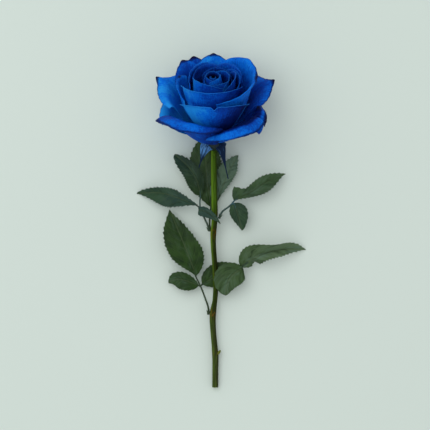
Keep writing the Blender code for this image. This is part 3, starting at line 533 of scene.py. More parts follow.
def rolled_profile(petal, u, v):
    """Radius and height on the petal, which follows its profile and then rolls outward."""
    line = bezier(petal.profile, PROFILE_STEPS)
    arc = lengths_along(line)
    end = arc[-1] - rim_drop(petal, u)
    roll_length = roll_reach(petal, u)
    travelled = v * (end + roll_length)
    climbed = np.minimum(travelled, end)
    past = np.maximum(climbed - arc[-1], 0.0)
    last = unit(line[-1] - line[-2])
    radius = np.interp(climbed, arc, line[:, 0]) + past * last[0]
    height = np.interp(climbed, arc, line[:, 1]) + past * last[1]

    slope = unit(np.gradient(line, arc, axis=0))
    out = np.interp(end, arc, slope[:, 0])
    rise = np.interp(end, arc, slope[:, 1])
    angle = math.radians(petal.roll) * (1 - petal.tip_flat * bump(u, petal.tip_at, TIP_WIDTH))
    turned_by = angle * np.clip((travelled - end) / roll_length, 0, 1)
    ahead = roll_length / angle * np.sin(turned_by)
    aside = roll_length / angle * (1 - np.cos(turned_by))
    return radius + ahead * out + aside * rise, height + ahead * rise - aside * out


def ripples(petal, u, v):
    """How far the petal's waves and lumps move its surface outward and up."""
    ruffle = petal.ruffle * v ** 4
    outward = ruffle * np.sin(petal.waves * math.pi * u + petal.phase)
    upward = 0.6 * ruffle * np.cos(1.3 * petal.waves * math.pi * u + 1.7 * petal.phase)
    lumps = (np.sin(2.3 * u + 3.1 * v + 5 * petal.phase)
             + 0.6 * np.sin(4.9 * u - 2.2 * v + 3 * petal.phase)
             + 0.5 * np.sin(1.7 * u + 6.3 * v + 7 * petal.phase))
    return outward + petal.uneven * lumps * v ** 2, upward


def petal_sheet(petal, u, v):
    """The sheet of one petal in the flower's frame, as rows from root to rim."""
    radius, height = rolled_profile(petal, u, v)
    outward, upward = ripples(petal, u, v)
    flare = petal.flare * bump(u, petal.tip_at, petal.flare_width) * v ** 3
    radius = radius + outward + flare + petal.wrap * u * v ** 2
    spread = petal.half_span * (1 - petal.taper * (1 - v) ** petal.narrowing)
    azimuth = np.radians(petal.azimuth + spread * u)
    right = radius * np.sin(azimuth) + petal.centre * v ** 2
    front = radius * np.cos(azimuth)
    return np.stack([right, front, height + upward], axis=-1)


def fluttered_sheet(petal, u, v):
    """The sheet of one petal in the world, with a fine flutter of its rim."""
    sheet = petal_sheet(petal, u, v)
    slow, quick = FLUTTER_PACES
    flutter = (FLUTTER * v**6 * np.sin(slow * u + 2.0 * petal.phase)
               * np.cos(quick * u + petal.phase))
    outward = unit(sheet * np.array((1.0, 1.0, 0.0)))
    sheet = flower_to_world(sheet + outward * flutter[..., None])
    if petal.pressed:
        sheet[..., 2] = np.maximum(sheet[..., 2], PRESSED_HEIGHT)
    return sheet


def petal_tones_and_shade(petal, dye_and_shade, u, rim, rolled):
    """How light a petal is at its points, with its painted light and shade, first those of its
    inner and then of its outer side.
    """
    # fold: where painted shade falls on the inner face below the crest of the roll, fading out
    # further in
    fold = smooth_share(rolled, *FOLD_SHADE_RISES) * smooth_share(rolled, *FOLD_SHADE_FADES)
    deepens = INNER_DEEPENING_AND_SHADE if petal in INNER_PETALS else OUTER_DEEPENING_AND_SHADE
    # depth: a deeper blue and painted shade towards the root inside, with painted shade below the
    # crest of the roll
    depth = dye_and_shade.deepening_and_shade * smooth_share(rim, *deepens) + dye_and_shade.fold_shade * fold
    # painted highlight on the outer face near the rim, where the rim rolls over
    lip_highlight = LIP_HIGHLIGHT_STRENGTH * smooth_share(rim, *LIP_HIGHLIGHT_SPAN) * (dye_and_shade.pale_rim > 0)
    # base: painted shade on the outer face towards the root, under the rims of petals that overlap
    # it
    base = BASE_SHADE * smooth_share(rim, *BASE_SHADE_RISES)
    # tone: each side's tone with painted light and shade, less painted shade towards the right end
    tone = between(dye_and_shade.sides, (u + 1) / 2) - dye_and_shade.end_shade * smooth_share(u, *END_SHADE_RISES)
    return np.concatenate([(tone - depth).ravel(), (tone + lip_highlight - base).ravel()])


def petal_piece(petal, finish):
    """One petal, thin at its rim, with the values its finish needs."""
    u, v = petal_grid(petal)
    sheet = fluttered_sheet(petal, u, v)
    along = lengths_along(sheet)
    half_width = lengths_along(sheet[-1])[-1] / 2
    rim = np.minimum(along[-1] - along, (1 - np.abs(u)) * half_width)
    thickness = between(PETAL_THICKNESS, np.clip(rim / RIM_TAPER, 0, 1))
    dye_and_shade = PETAL_DYES_AND_SHADES.get(petal.name, HEART_DYE_AND_SHADE if petal in HEART_PETALS else PLAIN_DYE_AND_SHADE)
    spot = bump(u, dye_and_shade.darkest, DARK_SPOT_WIDTH)
    dark_rim = dye_and_shade.dark_rim * between((LEAST_DARK, 1.0), bump(u, dye_and_shade.darkest, DARK_RIM_WIDTH))
    values = on_both_sides(
        u.shape, across=u * half_width, along=along, rim=rim, tip=spot, pale_rim=dye_and_shade.pale_rim,
        dark_rim=dark_rim + DARK_SPOT * (dye_and_shade.dark_rim > 0) * spot,
        seed=17.0 * petal.phase + petal.azimuth)
    values["tone"] = petal_tones_and_shade(petal, dye_and_shade, u, rim, (along[-1] - along) / roll_reach(petal, u))
    make_piece("petal_" + petal.name, blade(sheet, thickness), values, finish, "bloom")


def flower_core(finish):
    """The hidden dome that the petals grow from."""
    dome = turned(CORE_PROFILE, CORE_SIDES)
    plain = np.zeros(len(dome[0]))
    values = dict.fromkeys(("across", "along", "tone", "seed", "tip", "dark_rim", "pale_rim"),
                           plain)
    values["rim"] = plain + CORE_DEPTH
    make_piece("flower_core", dome, values, finish, "bloom")


@dataclass
class Leaflet:
    """One leaflet or sepal: a midrib between pixels of the photograph, and two halves.

    A half is (its width, where it is widest from 0 at the base to 1 at the tip, how thin it
    runs out: higher is thinner). A swelling or a turn is (half, place, spread, amount), where
    half is LEFT or RIGHT as one looks along the midrib from above.
    """

    midrib: tuple             # four control points: (pixel across, pixel down, height)
    left: tuple
    right: tuple
    fold: float = 15.0        # how far both halves are raised from level
    roll: tuple = (0.0, 0.0)  # how far base and tip are turned about the midrib, left half up
    swellings: tuple = ()     # where a half is wider, by an amount in millimetres
    turns: tuple = ()         # where a half turns up or down, by an angle
    curl: float = 0.06        # how far the margins bend down again
    pale: tuple = (0.0, 0.0)  # how pale base and tip are, below 0 for darker than most: waxy bloom with a painted sheen
    cool: tuple = (0.0, 0.0)  # how bluish base and tip are: partly a blue cast of the leaf, partly a painted bluish reflection
    tone: float = 0.4         # how light a sepal's blue is


def half_width_along(half, s):
    """The width of one half of a blade along its midrib."""
    width, widest, thinness = half
    rise = thinness * widest / (1 - widest)
    return width * (s / widest) ** rise * ((1 - s) / (1 - widest)) ** thinness


def toothed_margin(s, teeth):
    """How far the margin stands out along forward-pointing teeth and slow waves."""
    phase = (s * teeth) % 1.0
    middle = np.clip(np.minimum(s * TEETH_GROW, (1 - s) * TEETH_FADE), 0, 1)
    wave = MARGIN_WAVE * np.sin(MARGIN_WAVE_PACE * teeth * s + teeth) * np.sin(math.pi * s)
    reach = TOOTH_REACH * min(1.0, teeth / FULL_TEETH)
    return middle * reach * (phase**TOOTH_HOOK - 0.5) + wave


def leaflet_sheet(leaflet, corners, facing, teeth, rows, columns):
    """The sheet of one leaflet about its midrib, and its places s along and t across."""
    line = bezier(corners, rows + 1)
    forward = unit(np.gradient(line, axis=0))
    left = unit(np.cross(facing, forward))[:, None]
    up = np.cross(forward, left[:, 0])[:, None]
    t, s = np.meshgrid(np.linspace(-1, 1, columns + 1), np.linspace(0, 1, rows + 1))
    side = np.where(t > 0, LEFT, RIGHT)
    width = by_side(t, (half_width_along(leaflet.right, s), half_width_along(leaflet.left, s)))
    tilt = leaflet.fold + side * between(leaflet.roll, s)
    for half, place_on, spread, amount in leaflet.swellings:
        width = width + (half == side) * amount * bump(s, place_on, spread) * (s > 0)
    for half, place_on, spread, angle in leaflet.turns:
        tilt = tilt + (half == side) * angle * bump(s, place_on, spread)
    margin = toothed_margin(s, teeth) * np.abs(t) ** 6 if teeth else 0.0
    width = np.maximum(width + margin, LEAST_WIDTH)
    aside = t * width * np.cos(np.radians(tilt))
    lift = np.abs(t) * width * np.sin(np.radians(tilt)) - leaflet.curl * t * t * width
    sheet = line[:, None] + left * aside[..., None] + up * lift[..., None]
    return sheet, s, t, t * width, lengths_along(line)[-1]


def leaflet_piece(name, leaflet, finish, node):
    """One leaflet with its teeth, its sunken midrib and the quilting between its side veins."""
    corners = [place(*point) for point in leaflet.midrib]
    teeth = round(lengths_along(corners)[-1] / TOOTH_SPACING)
    sheet, s, t, across, length = leaflet_sheet(leaflet, corners, SKYWARD, teeth,
                                                teeth * TOOTH_ROWS, LEAFLET_COLUMNS)
    out, reach = np.abs(t), np.abs(across) / length
    vein = VEINS * (s - VEIN_SLANT * reach - VEIN_BEND * reach * out) + VEIN_STAGGER * (t > 0)
    swell = (QUILTING * np.sin(math.pi * (vein % 1.0)) ** QUILTING_FULLNESS
             * np.clip(reach * QUILTING_GROWS, 0, 1))
    wander = WANDER * np.sin(7 * s + 3 * t) * np.sin(5 * t + 4 * s)
    groove = MIDRIB_DEPTH * bump(across, 0.0, MIDRIB_WIDTH) * (1 - s) ** MIDRIB_FADE
    lift = (MARGIN_LIFT * np.sin(MARGIN_LIFT_PACE * s + 2 * np.sign(t)) * out**2
            * np.sin(math.pi * s))
    height = sheet[..., 2] + (swell + wander) * (1 - out) - groove + lift
    sheet[..., 2] = np.maximum(height, LEAFLET_THICKNESS[1] / 2)
    to_margin = (1 - out) * np.abs(across) / np.maximum(out, LEAST_OUT)
    thickness = between(LEAFLET_THICKNESS, np.clip(to_margin / MARGIN_TAPER, 0, 1))
    values = on_both_sides(s.shape, across=across, along=s * length, vein=vein, out=out,
                           pale=between(leaflet.pale, s), cool=between(leaflet.cool, s))
    values["under"] = np.repeat([0.0, 1.0], s.size)
    make_piece(name, blade(sheet, thickness), values, finish, node)


# The stem's middle line from its foot and its width, read from the photograph: (pixel across,
# pixel down, radius), and the same for the bud stub at its right
STEM_LINE = [
    (215.2, 387.3, 2.45), (215.3, 370.0, 2.45), (215.4, 357.0, 2.6), (214.6, 346.0, 2.4),
    (213.4, 333.0, 2.35), (212.7, 320.0, 2.55), (213.2, 311.0, 2.55), (214.8, 301.0, 2.0),
    (215.6, 290.0, 2.1), (215.3, 274.0, 2.2), (214.4, 260.0, 2.15), (213.4, 246.0, 2.2),
    (213.3, 234.0, 2.4), (214.4, 222.0, 2.4), (214.6, 210.0, 2.6), (214.4, 199.0, 2.55),
    (214.0, 176.0, 2.45),
]
BUD_STUB = [(215.6, 355.0, 0.9), (217.6, 353.5, 1.3), (219.4, 351.8, 1.0), (220.4, 350.2, 0.5)]
STUB_LIFT = 0.5
STUB_LOOKS = {"along": 30.0, "side": 0.0, "node": 0.3, "stub": 1.0}
# The nodes, as rows of the photograph with how brown the bark is at each
NODES = {352.0: 0.3, 313.5: 1.0, 274.5: 0.2, 233.0: 1.0, 214.0: 0.2}


def stem_height(down):
    """The height of the stem's middle above the surface, at a row of the photograph."""
    first, last = STEM_LINE[0][1], STEM_LINE[-1][1]
    return between(STEM_HEIGHTS, (first - down) / (first - last))


def stem_path():
    """Centres and radii from the cut end to the hip, with the neck's bend at the top."""
    points = [place(across, down, stem_height(down)) for across, down, _ in STEM_LINE]
    top = flower_to_world(np.array((0.0, 0.0, -HIP_LENGTH - STEM_TOP_GAP)))
    axis = flower_direction(0.0, 0.0, 1.0)
    run = unit(points[-1] - points[-2])
    joint = top - NECK_END * axis
    bend = bezier((points[-1], points[-1] + NECK_PULLS[0] * run, joint - NECK_PULLS[1] * axis,
                   joint), NECK_STEPS + 1)
    radii = [radius for *_, radius in STEM_LINE] + [NECK_RADIUS] * (NECK_STEPS + 1)
    return np.vstack([points, bend[1:], top]), radii


def beside_stem(down, angle, radius):
    """A place beside the stem where a stalk of some radius is seated.

    The angle is 0 to the right, 90 towards the viewer, 180 to the left.
    """
    columns, rows, radii = zip(*STEM_LINE[::-1])
    centre = place(np.interp(down, rows, columns), down, stem_height(down))
    reach = np.interp(down, rows, radii) + SEAT_GAP + radius
    turn = math.radians(angle)
    return centre + reach * np.array((math.cos(turn), 0.0, math.sin(turn)))


def resampled(numbers, count):
    """A row of numbers stretched or shortened to a count."""
    return np.interp(np.linspace(0, len(numbers) - 1, count), range(len(numbers)), numbers)


def bud_stub():
    """The short stub of a bud that didn't grow, low on the right of the stem."""
    path = smooth_path([place(across, down, stem_height(down) + STUB_LIFT)
                        for across, down, _ in BUD_STUB], SMALL_RINGS_EACH)
    radii = resampled([radius for *_, radius in BUD_STUB], len(path))
    return tube(path, radii, STALK_SIDES)


def stem_piece(finish):
    """The stem with its swollen nodes, its bud stub and its cut end."""
    path, radii = stem_path()
    path = smooth_path(path, RINGS_EACH)
    radii = resampled(radii, len(path))
    swelling, brown = np.zeros(len(path)), np.zeros(len(path))
    for row, share in NODES.items():
        near = bump(path[:, 1], place(PICTURE_CENTRE, row, NODE_HEIGHT)[1], NODE_SPREAD)
        swelling = np.maximum(swelling, near)
        brown = np.maximum(brown, near * share)
    bark = tube(path, radii * (STEM_SHARE + NODE_SWELLING * swelling), STEM_SIDES)
    stub = bud_stub()
    # how far round from the left side to the right a point lies, which places the painted
    # highlight and shade
    side = (bark[0][:, 0] - np.repeat(path[:, 0], STEM_SIDES)) / np.repeat(radii, STEM_SIDES)
    on_bark = {"along": np.repeat(lengths_along(path), STEM_SIDES), "side": side,
               "node": np.repeat(brown, STEM_SIDES), "stub": np.zeros(len(side))}
    values = {title: np.concatenate([numbers, np.full(len(stub[0]), STUB_LOOKS[title])])
              for title, numbers in on_bark.items()}
    make_piece("stem_bark", joined_shapes([bark, stub]), values, finish, "stem")


FRONT_SEPALS = {
    "sepal_left": Leaflet(
        ((210.5, 143.6, 20.8), (204.5, 145.0, 24.5), (204.0, 152.0, 22.5), (199.0, 167.5, 15.5)),
        left=(5.2, 0.18, 1.6), right=(5.0, 0.22, 1.6), fold=8, tone=1.0),
    "sepal_right": Leaflet(
        ((217.2, 143.8, 20.8), (222.5, 145.0, 24.5), (222.5, 156.0, 22.0), (228.2, 178.7, 11.5)),
        left=(4.2, 0.2, 2.0), right=(4.0, 0.22, 2.0), fold=12, tone=0.0),
}
BACK_SEPAL = Leaflet((), left=(3.6, 0.3, 1.6), right=(3.6, 0.3, 1.6), fold=12)
BACK_SEPAL_AZIMUTHS = (112.0, 180.0, 248.0)
BACK_SEPAL_PROFILE = ((4.0, -3.2), (9.0, -2.6), (10.5, -7.0), (7.5, -13.0))
HIP_PROFILE = [(2.5, -HIP_LENGTH), (3.4, -8.6), (4.8, -6.6), (5.4, -4.4), (5.2, -2.6),
               (4.4, -1.4)]


def sepal_piece(name, plan, corners, facing, finish):
    """One sepal as a fine blade."""
    sheet, s, t, across, length = leaflet_sheet(plan, corners, facing, 0, SEPAL_ROWS,
                                                SEPAL_COLUMNS)
    values = on_both_sides(s.shape, across=across, along=s * length, out=t, tone=plan.tone, tip=s)
    make_piece(name, blade(sheet, SEPAL_THICKNESS), values, finish, "calyx")


def calyx_pieces(sepal_look, hip_look):
    """The hip and the five sepals."""
    profile = smooth_path(HIP_PROFILE, SMALL_RINGS_EACH)
    rise = np.repeat(np.linspace(0, 1, len(profile)), HIP_SIDES)
    make_piece("hip", turned(profile, HIP_SIDES), {"along": rise}, hip_look, "calyx")
    for name, plan in FRONT_SEPALS.items():
        corners = [place(*point) for point in plan.midrib]
        sepal_piece(name, plan, corners, SKYWARD, sepal_look)
    for k, azimuth in enumerate(BACK_SEPAL_AZIMUTHS):
        right, front = math.sin(math.radians(azimuth)), math.cos(math.radians(azimuth))
        corners = [flower_to_world(np.array((radius * right, radius * front, height)))
                   for radius, height in BACK_SEPAL_PROFILE]
        sepal_piece(f"sepal_back_{k + 1}", BACK_SEPAL, corners,
                    flower_direction(right, front, 1.0), sepal_look)


@dataclass
class Leaf:
    """A compound leaf, whose first stalk is seated beside the stem."""

    seat: tuple               # the row of the photograph and the angle round the stem
    blue: float               # how far its stalks are stained
    stalks: tuple             # each as points: (pixel across, pixel down, height)
    leaflets: dict


LEAVES = {
    "leaf_lower_left": Leaf((314.5, 180), 0.1, (
        ((208.2, 307.3, 6.6), (204.2, 295.5, 7.0), (200.4, 286.0, 6.6), (196.2, 277.5, 6.6),
         (193.8, 271.5, 7.4)),
        ((200.6, 286.5, 6.6), (198.0, 285.2, 6.6), (193.6, 283.2, 7.0)),
        ((200.6, 286.0, 6.4), (203.0, 283.6, 5.0), (206.5, 281.4, 4.2)),
    ), {
        "terminal": Leaflet(
            ((195.4, 276.0, 6.8), (190.0, 255.7, 11.0), (180.7, 237.4, 12.0), (169.6, 209.8, 5.0)),
            left=(15.2, 0.55, 1.0), right=(12.3, 0.38, 1.2), fold=12, pale=(-0.08, -0.04)),
        "left": Leaflet(
            ((198.6, 285.4, 6.6), (185.0, 280.4, 9.0), (177.0, 275.1, 9.0), (168.8, 283.0, 4.0)),
            left=(8.8, 0.42, 0.85), right=(6.6, 0.50, 0.76), fold=14, pale=(0.0, 0.1),
            cool=(0.0, 0.05)),
        "right": Leaflet(
            ((202.4, 284.0, 5.2), (213.0, 277.0, 3.0), (228.0, 272.0, 3.4), (237.5, 265.4, 5.0)),
            left=(10.3, 0.42, 0.84), right=(8.8, 0.46, 0.77), fold=4, pale=(0.05, 0.05)),
    }),
    "leaf_lower_right": Leaf((276.5, 20), 0.35, (
        ((221.5, 274.0, 8.6), (231.0, 270.5, 8.6), (239.5, 268.2, 9.0), (243.6, 265.4, 10.0),
         (248.0, 262.2, 11.6)),
        ((238.4, 268.6, 8.9), (241.2, 269.6, 9.9), (242.6, 269.6, 12.4)),
    ), {
        "far_right": Leaflet(
            ((241.2, 267.0, 9.4), (256.9, 254.1, 15.0), (276.0, 246.7, 16.0), (305.5, 249.5, 0.0)),
            left=(13.9, 0.40, 0.9), right=(6.9, 0.41, 0.95), fold=18,
            turns=((LEFT, 0.6, 0.3, 50), (RIGHT, 0.21, 0.09, -80)), pale=(0.3, 1.2)),
        "before_stem": Leaflet(
            ((243.2, 268.6, 11.0), (240.5, 268.8, 13.5), (224.0, 276.0, 14.5),
             (225.8, 295.4, 11.5)),
            left=(10.1, 0.41, 0.58), right=(12.4, 0.62, 0.76), fold=8, pale=(0.15, 0.35)),
    }),
    "leaf_upper_left": Leaf((231.0, 180), 0.5, (
        ((207.6, 225.0, 10.2), (204.6, 218.5, 10.6), (200.2, 209.4, 10.8), (197.6, 206.0, 10.9),
         (192.6, 203.6, 11.4)),
        ((200.4, 209.8, 10.8), (199.9, 203.0, 10.4), (200.4, 195.0, 9.8), (200.2, 189.5, 9.9)),
        ((200.4, 209.6, 10.8), (201.8, 210.2, 11.4), (204.0, 210.6, 12.4)),
    ), {
        "far_left": Leaflet(
            ((197.2, 205.6, 11.0), (168.0, 194.6, 13.5), (166.7, 190.5, 13.0),
             (137.0, 193.6, 0.0)),
            left=(10.5, 0.50, 1.2), right=(5.6, 0.52, 0.55), fold=18, roll=(8, -8),
            pale=(-0.1, -0.1), cool=(0.3, 0.15)),
        "upper": Leaflet(
            ((200.5, 195.6, 9.6), (197.5, 176.0, 11.5), (193.3, 170.5, 12.0), (174.6, 154.4, 8.0)),
            left=(8.7, 0.46, 0.45), right=(7.0, 0.47, 0.66), fold=16, roll=(-20, 10),
            pale=(-0.45, -0.45), cool=(0.0, 0.2)),
        "before_stem": Leaflet(
            ((198.6, 209.8, 10.8), (203.0, 209.6, 14.8), (214.0, 215.0, 15.6),
             (220.4, 223.9, 13.6)),
            left=(3.5, 0.34, 0.85), right=(4.8, 0.25, 1.0), fold=22, pale=(-0.15, -0.15),
            cool=(0.35, 0.3)),
    }),
    "leaf_upper_back": Leaf((231.5, 222), 0.1, (
        ((209.7, 224.0, 7.4), (209.9, 214.0, 6.8), (210.8, 207.0, 6.2), (210.0, 198.0, 6.2)),
        ((210.6, 209.0, 6.4), (214.0, 204.5, 6.0), (218.0, 199.5, 6.0), (220.4, 194.5, 6.6)),
    ), {
        "terminal": Leaflet(
            ((210.7, 206.8, 6.2), (207.0, 180.0, 6.6), (204.5, 165.0, 6.2), (205.6, 133.0, 3.4)),
            left=(14.4, 0.51, 0.8), right=(13.2, 0.55, 0.74), fold=3, pale=(0.0, 0.35)),
        "right": Leaflet(
            ((217.4, 200.6, 6.0), (229.0, 170.0, 7.6), (227.5, 174.0, 8.2), (238.2, 155.4, 5.5)),
            left=(10.2, 0.3, 0.6), right=(6.3, 0.52, 1.05), fold=8, pale=(0.8, 1.0),
            cool=(0.3, 0.3)),
    }),
    "leaf_upper_right": Leaf((218.5, 12), 1.0, (
        ((222.2, 211.8, 10.8), (227.8, 207.5, 10.9), (232.0, 203.6, 10.8), (234.6, 200.4, 10.9),
         (238.6, 197.4, 11.6)),
        ((232.0, 203.6, 10.8), (234.6, 204.6, 10.8), (235.8, 208.6, 11.2)),
    ), {
        "far_right": Leaflet(
            ((234.0, 200.6, 10.8), (254.5, 191.9, 15.0), (262.5, 181.2, 15.0),
             (285.3, 174.0, 6.0)),
            left=(6.5, 0.54, 0.82), right=(7.7, 0.56, 1.2), fold=24,
            swellings=((LEFT, 0.10, 0.11, 8.5),), pale=(0.2, 0.3), cool=(0.1, 0.05)),
        "hanging": Leaflet(
            ((234.2, 203.0, 10.6), (236.7, 211.8, 12.5), (238.6, 216.8, 11.5),
             (242.1, 230.4, 6.0)),
            left=(8.5, 0.44, 0.66), right=(5.8, 0.38, 0.87), fold=14, pale=(0.05, 0.05),
            cool=(0.15, 0.15)),
    }),
}


def prickles(path):
    """Small prickles that stand out from a stalk on alternate sides."""
    shapes = []
    for k in range(FIRST_PRICKLE, len(path) - 2, PRICKLE_SPACING):
        forward = unit(path[k + 1] - path[k])
        aside = unit(np.cross(forward, SKYWARD)) * (-1) ** (k // PRICKLE_SPACING)
        tip = path[k] + aside * PRICKLE_REACH - forward * PRICKLE_LEAN
        middle = (path[k] + tip) / 2 + forward * PRICKLE_BEND
        shapes.append(tube(np.array([path[k], middle, tip]), PRICKLE_RADII, SMALL_SIDES))
    return shapes


def stipules(path):
    """The two small pointed flaps that clasp the foot of a leaf's stalk."""
    forward = unit(path[2] - path[0])
    out, on = STIPULE_REACH
    aside = unit(np.cross(forward, SKYWARD)) * out
    shapes = []
    for side in (LEFT, RIGHT):
        points = [path[0], path[2] + side * aside * STIPULE_BEND,
                  path[2] + side * aside + forward * on]
        shapes.append(tube(np.array(points), STIPULE_RADII, SMALL_SIDES))
    return shapes


def stalk_piece(name, plan, finish):
    """The stalks that carry one leaf's leaflets, with what stands out from the first of them."""
    shapes, blue = [], []
    seat = beside_stem(*plan.seat, FIRST_STALK[0])
    for k, stalk in enumerate(plan.stalks):
        points = [place(*point) for point in stalk]
        path = smooth_path(points if k else [seat, *points], RINGS_EACH)
        start, swelling, foot_blue = SIDE_STALK if k else FIRST_STALK
        foot = bump(np.arange(len(path)), 0, STALK_FOOT_RINGS)
        radii = np.linspace(start, STALK_TIP_RADIUS, len(path)) * (1 + swelling * foot)
        shapes.append(tube(path, radii, STALK_SIDES))
        stained = np.linspace(foot_blue, 1.0, len(path)) * plan.blue
        blue.append(np.repeat(stained, STALK_SIDES))
        if k == 0:
            small = stipules(path) + prickles(path)
            shapes += small
            blue.append(np.zeros(sum(len(points) for points, _ in small)))
    make_piece(name + "_stalk", joined_shapes(shapes), {"blue": np.concatenate(blue)}, finish,
               name)


@dataclass
class Value:
    """What a shader node puts out, ready for plain sums and products."""

    tree: object
    socket: object

    def calculate(self, operation, other=0.0):
        return add(self.tree, "Math", {0: self, 1: other}, operation=operation)

    def __add__(self, other):
        return self.calculate("ADD", other)

    def __sub__(self, other):
        return self.calculate("SUBTRACT", other)

    def __mul__(self, other):
        return self.calculate("MULTIPLY", other)


def add(tree, kind, inputs, output=0, **settings):
    """Add a shader node with its inputs set or linked, and give back one of its outputs."""
    made = tree.nodes.new("ShaderNode" + kind)
    for name, value in settings.items():
        setattr(made, name, value)
    for socket, value in inputs.items():
        if isinstance(value, Value):
            tree.links.new(value.socket, made.inputs[socket])
        else:
            made.inputs[socket].default_value = value
    return Value(tree, made.outputs[output])


def new_finish(name, roughness, shine):
    """A material with its shader, and its node tree."""
    made = bpy.data.materials.new(name)
    made.use_nodes = True
    shader = made.node_tree.nodes["Principled BSDF"]
    shader.inputs["Roughness"].default_value = roughness
    shader.inputs["Specular IOR Level"].default_value = shine
    return made, made.node_tree, shader


def values_of(tree, names):
    """Values that the mesh carries at its points, by their names."""
    return [add(tree, "Attribute", {}, "Fac", attribute_name=name) for name in names.split()]


def millimetres(tree):
    """Places on the piece in millimetres."""
    place_on = add(tree, "TexCoord", {}, "Object")
    return add(tree, "VectorMath", {0: place_on, "Scale": 1 / MM}, operation="SCALE")


def vector(x, y, z):
    return add(x.tree, "CombineXYZ", {0: x, 1: y, 2: z})


def drawn_out(spot, share):
    """Places whose distance along the stem is shortened, so that a pattern is drawn out."""
    return add(spot.tree, "Mapping", {"Vector": spot, "Scale": (1.0, share, 1.0)})


def noise(spot, scale, detail=2.0, roughness=0.5):
    return add(spot.tree, "TexNoise", {"Vector": spot, "Scale": scale, "Detail": detail,
                                       "Roughness": roughness}, "Fac")


def fade(value, start, end, low=0.0, high=1.0):
    """A value mapped smoothly from its range between start and end to one from low to high."""
    return add(value.tree, "MapRange", {"Value": value, "From Min": start, "From Max": end,
                                        "To Min": low, "To Max": high},
               interpolation_type="SMOOTHSTEP")


MIX_SOCKETS = (0, 6, 7)           # a Mix node's share and its two colours
MIXED_COLOUR = 2


def coated(colour, *coats):
    """A colour under coats of others, each with the share at which it covers those before it."""
    for share, over in coats:
        layers = ((*one, 1.0) if isinstance(one, tuple) else one for one in (colour, over))
        colour = add(share.tree, "Mix", dict(zip(MIX_SOCKETS, (share, *layers))), MIXED_COLOUR,
                     data_type="RGBA")
    return colour


def feed(shader, title, value):
    value.tree.links.new(value.socket, shader.inputs[title])


def surface(shader, colour, height, strength, distance):
    """Colour a shader, and raise its surface by a height from 0 to 1 over millimetres."""
    raised = add(colour.tree, "Bump", {"Height": height, "Strength": strength,
                                       "Distance": distance * MM}, "Normal")
    feed(shader, "Base Color", colour)
    feed(shader, "Normal", raised)


# The petals' blues, from the deepest to the lightest: each with the lightness at which it starts
# to show, and the one at which it has taken over. The deepest shows under painted shade, the
# lightest is a painted highlight
DEEPEST_SHADED_BLUE = (0.0005, 0.001, 0.012)
PETAL_BLUES = (((0.001, 0.010, 0.11), -2.0, -1.0), ((0.0012, 0.046, 0.35), -1.0, -0.1),
               ((0.0015, 0.135, 0.66), -0.1, 0.7), ((0.012, 0.25, 0.72), 0.6, 1.3))
RIM_NAVY = (0.002, 0.008, 0.075)
BURNT_TIP = (0.008, 0.004, 0.020)
RIM_HIGHLIGHT_BLUE = (0.015, 0.17, 0.60)


def petal_finish():
    """Velvet petal: dyed blue, darker inward with a deeper blue and painted shade, with painted
    light and shade by side, a painted highlight along cup rims, fanned veins, mottling and dark
    rims.
    """
    made, tree, shader = new_finish("petal_velvet", 0.6, 0.04)
    across, along, seed, tone, rim = values_of(tree, "across along seed tone rim")
    dark_rim, tip, pale_rim = values_of(tree, "dark_rim tip pale_rim")
    veins = noise(vector(across * 0.8, along * 0.07, seed), 1.0, 3.0, 0.6)
    spot = millimetres(tree)
    clouds = noise(spot, 0.1)
    mottle = noise(spot, 0.6, 3.0, 0.6)
    light = fade(veins, 0.25, 0.75, -0.2, 0.2) + fade(mottle, 0.25, 0.75, -0.24, 0.24)
    light = light + fade(clouds, 0.3, 0.7, -0.22, 0.22) + tone
    colour = coated(DEEPEST_SHADED_BLUE, *((fade(light, start, end), blue)
                                    for blue, start, end in PETAL_BLUES))
    reach = dark_rim + fade(veins, 0.3, 0.7, -0.35, 0.35)
    colour = coated(colour,
                    (fade(rim - reach, -0.9, 0.8, 0.9, 0.0) * fade(dark_rim, 0.1, 0.7), RIM_NAVY),
                    (fade(dark_rim - rim, 1.0, 2.0) * tip, BURNT_TIP),
                    # painted highlight along the rim, partly a paler thin edge
                    (fade(rim, 0.1, 1.2, 1.0, 0.0) * pale_rim, RIM_HIGHLIGHT_BLUE))
    feed(shader, "Roughness", fade(mottle, 0.3, 0.7, 0.5, 0.7))
    surface(shader, colour, veins + mottle * 0.7, 0.5, 0.25)
    return made


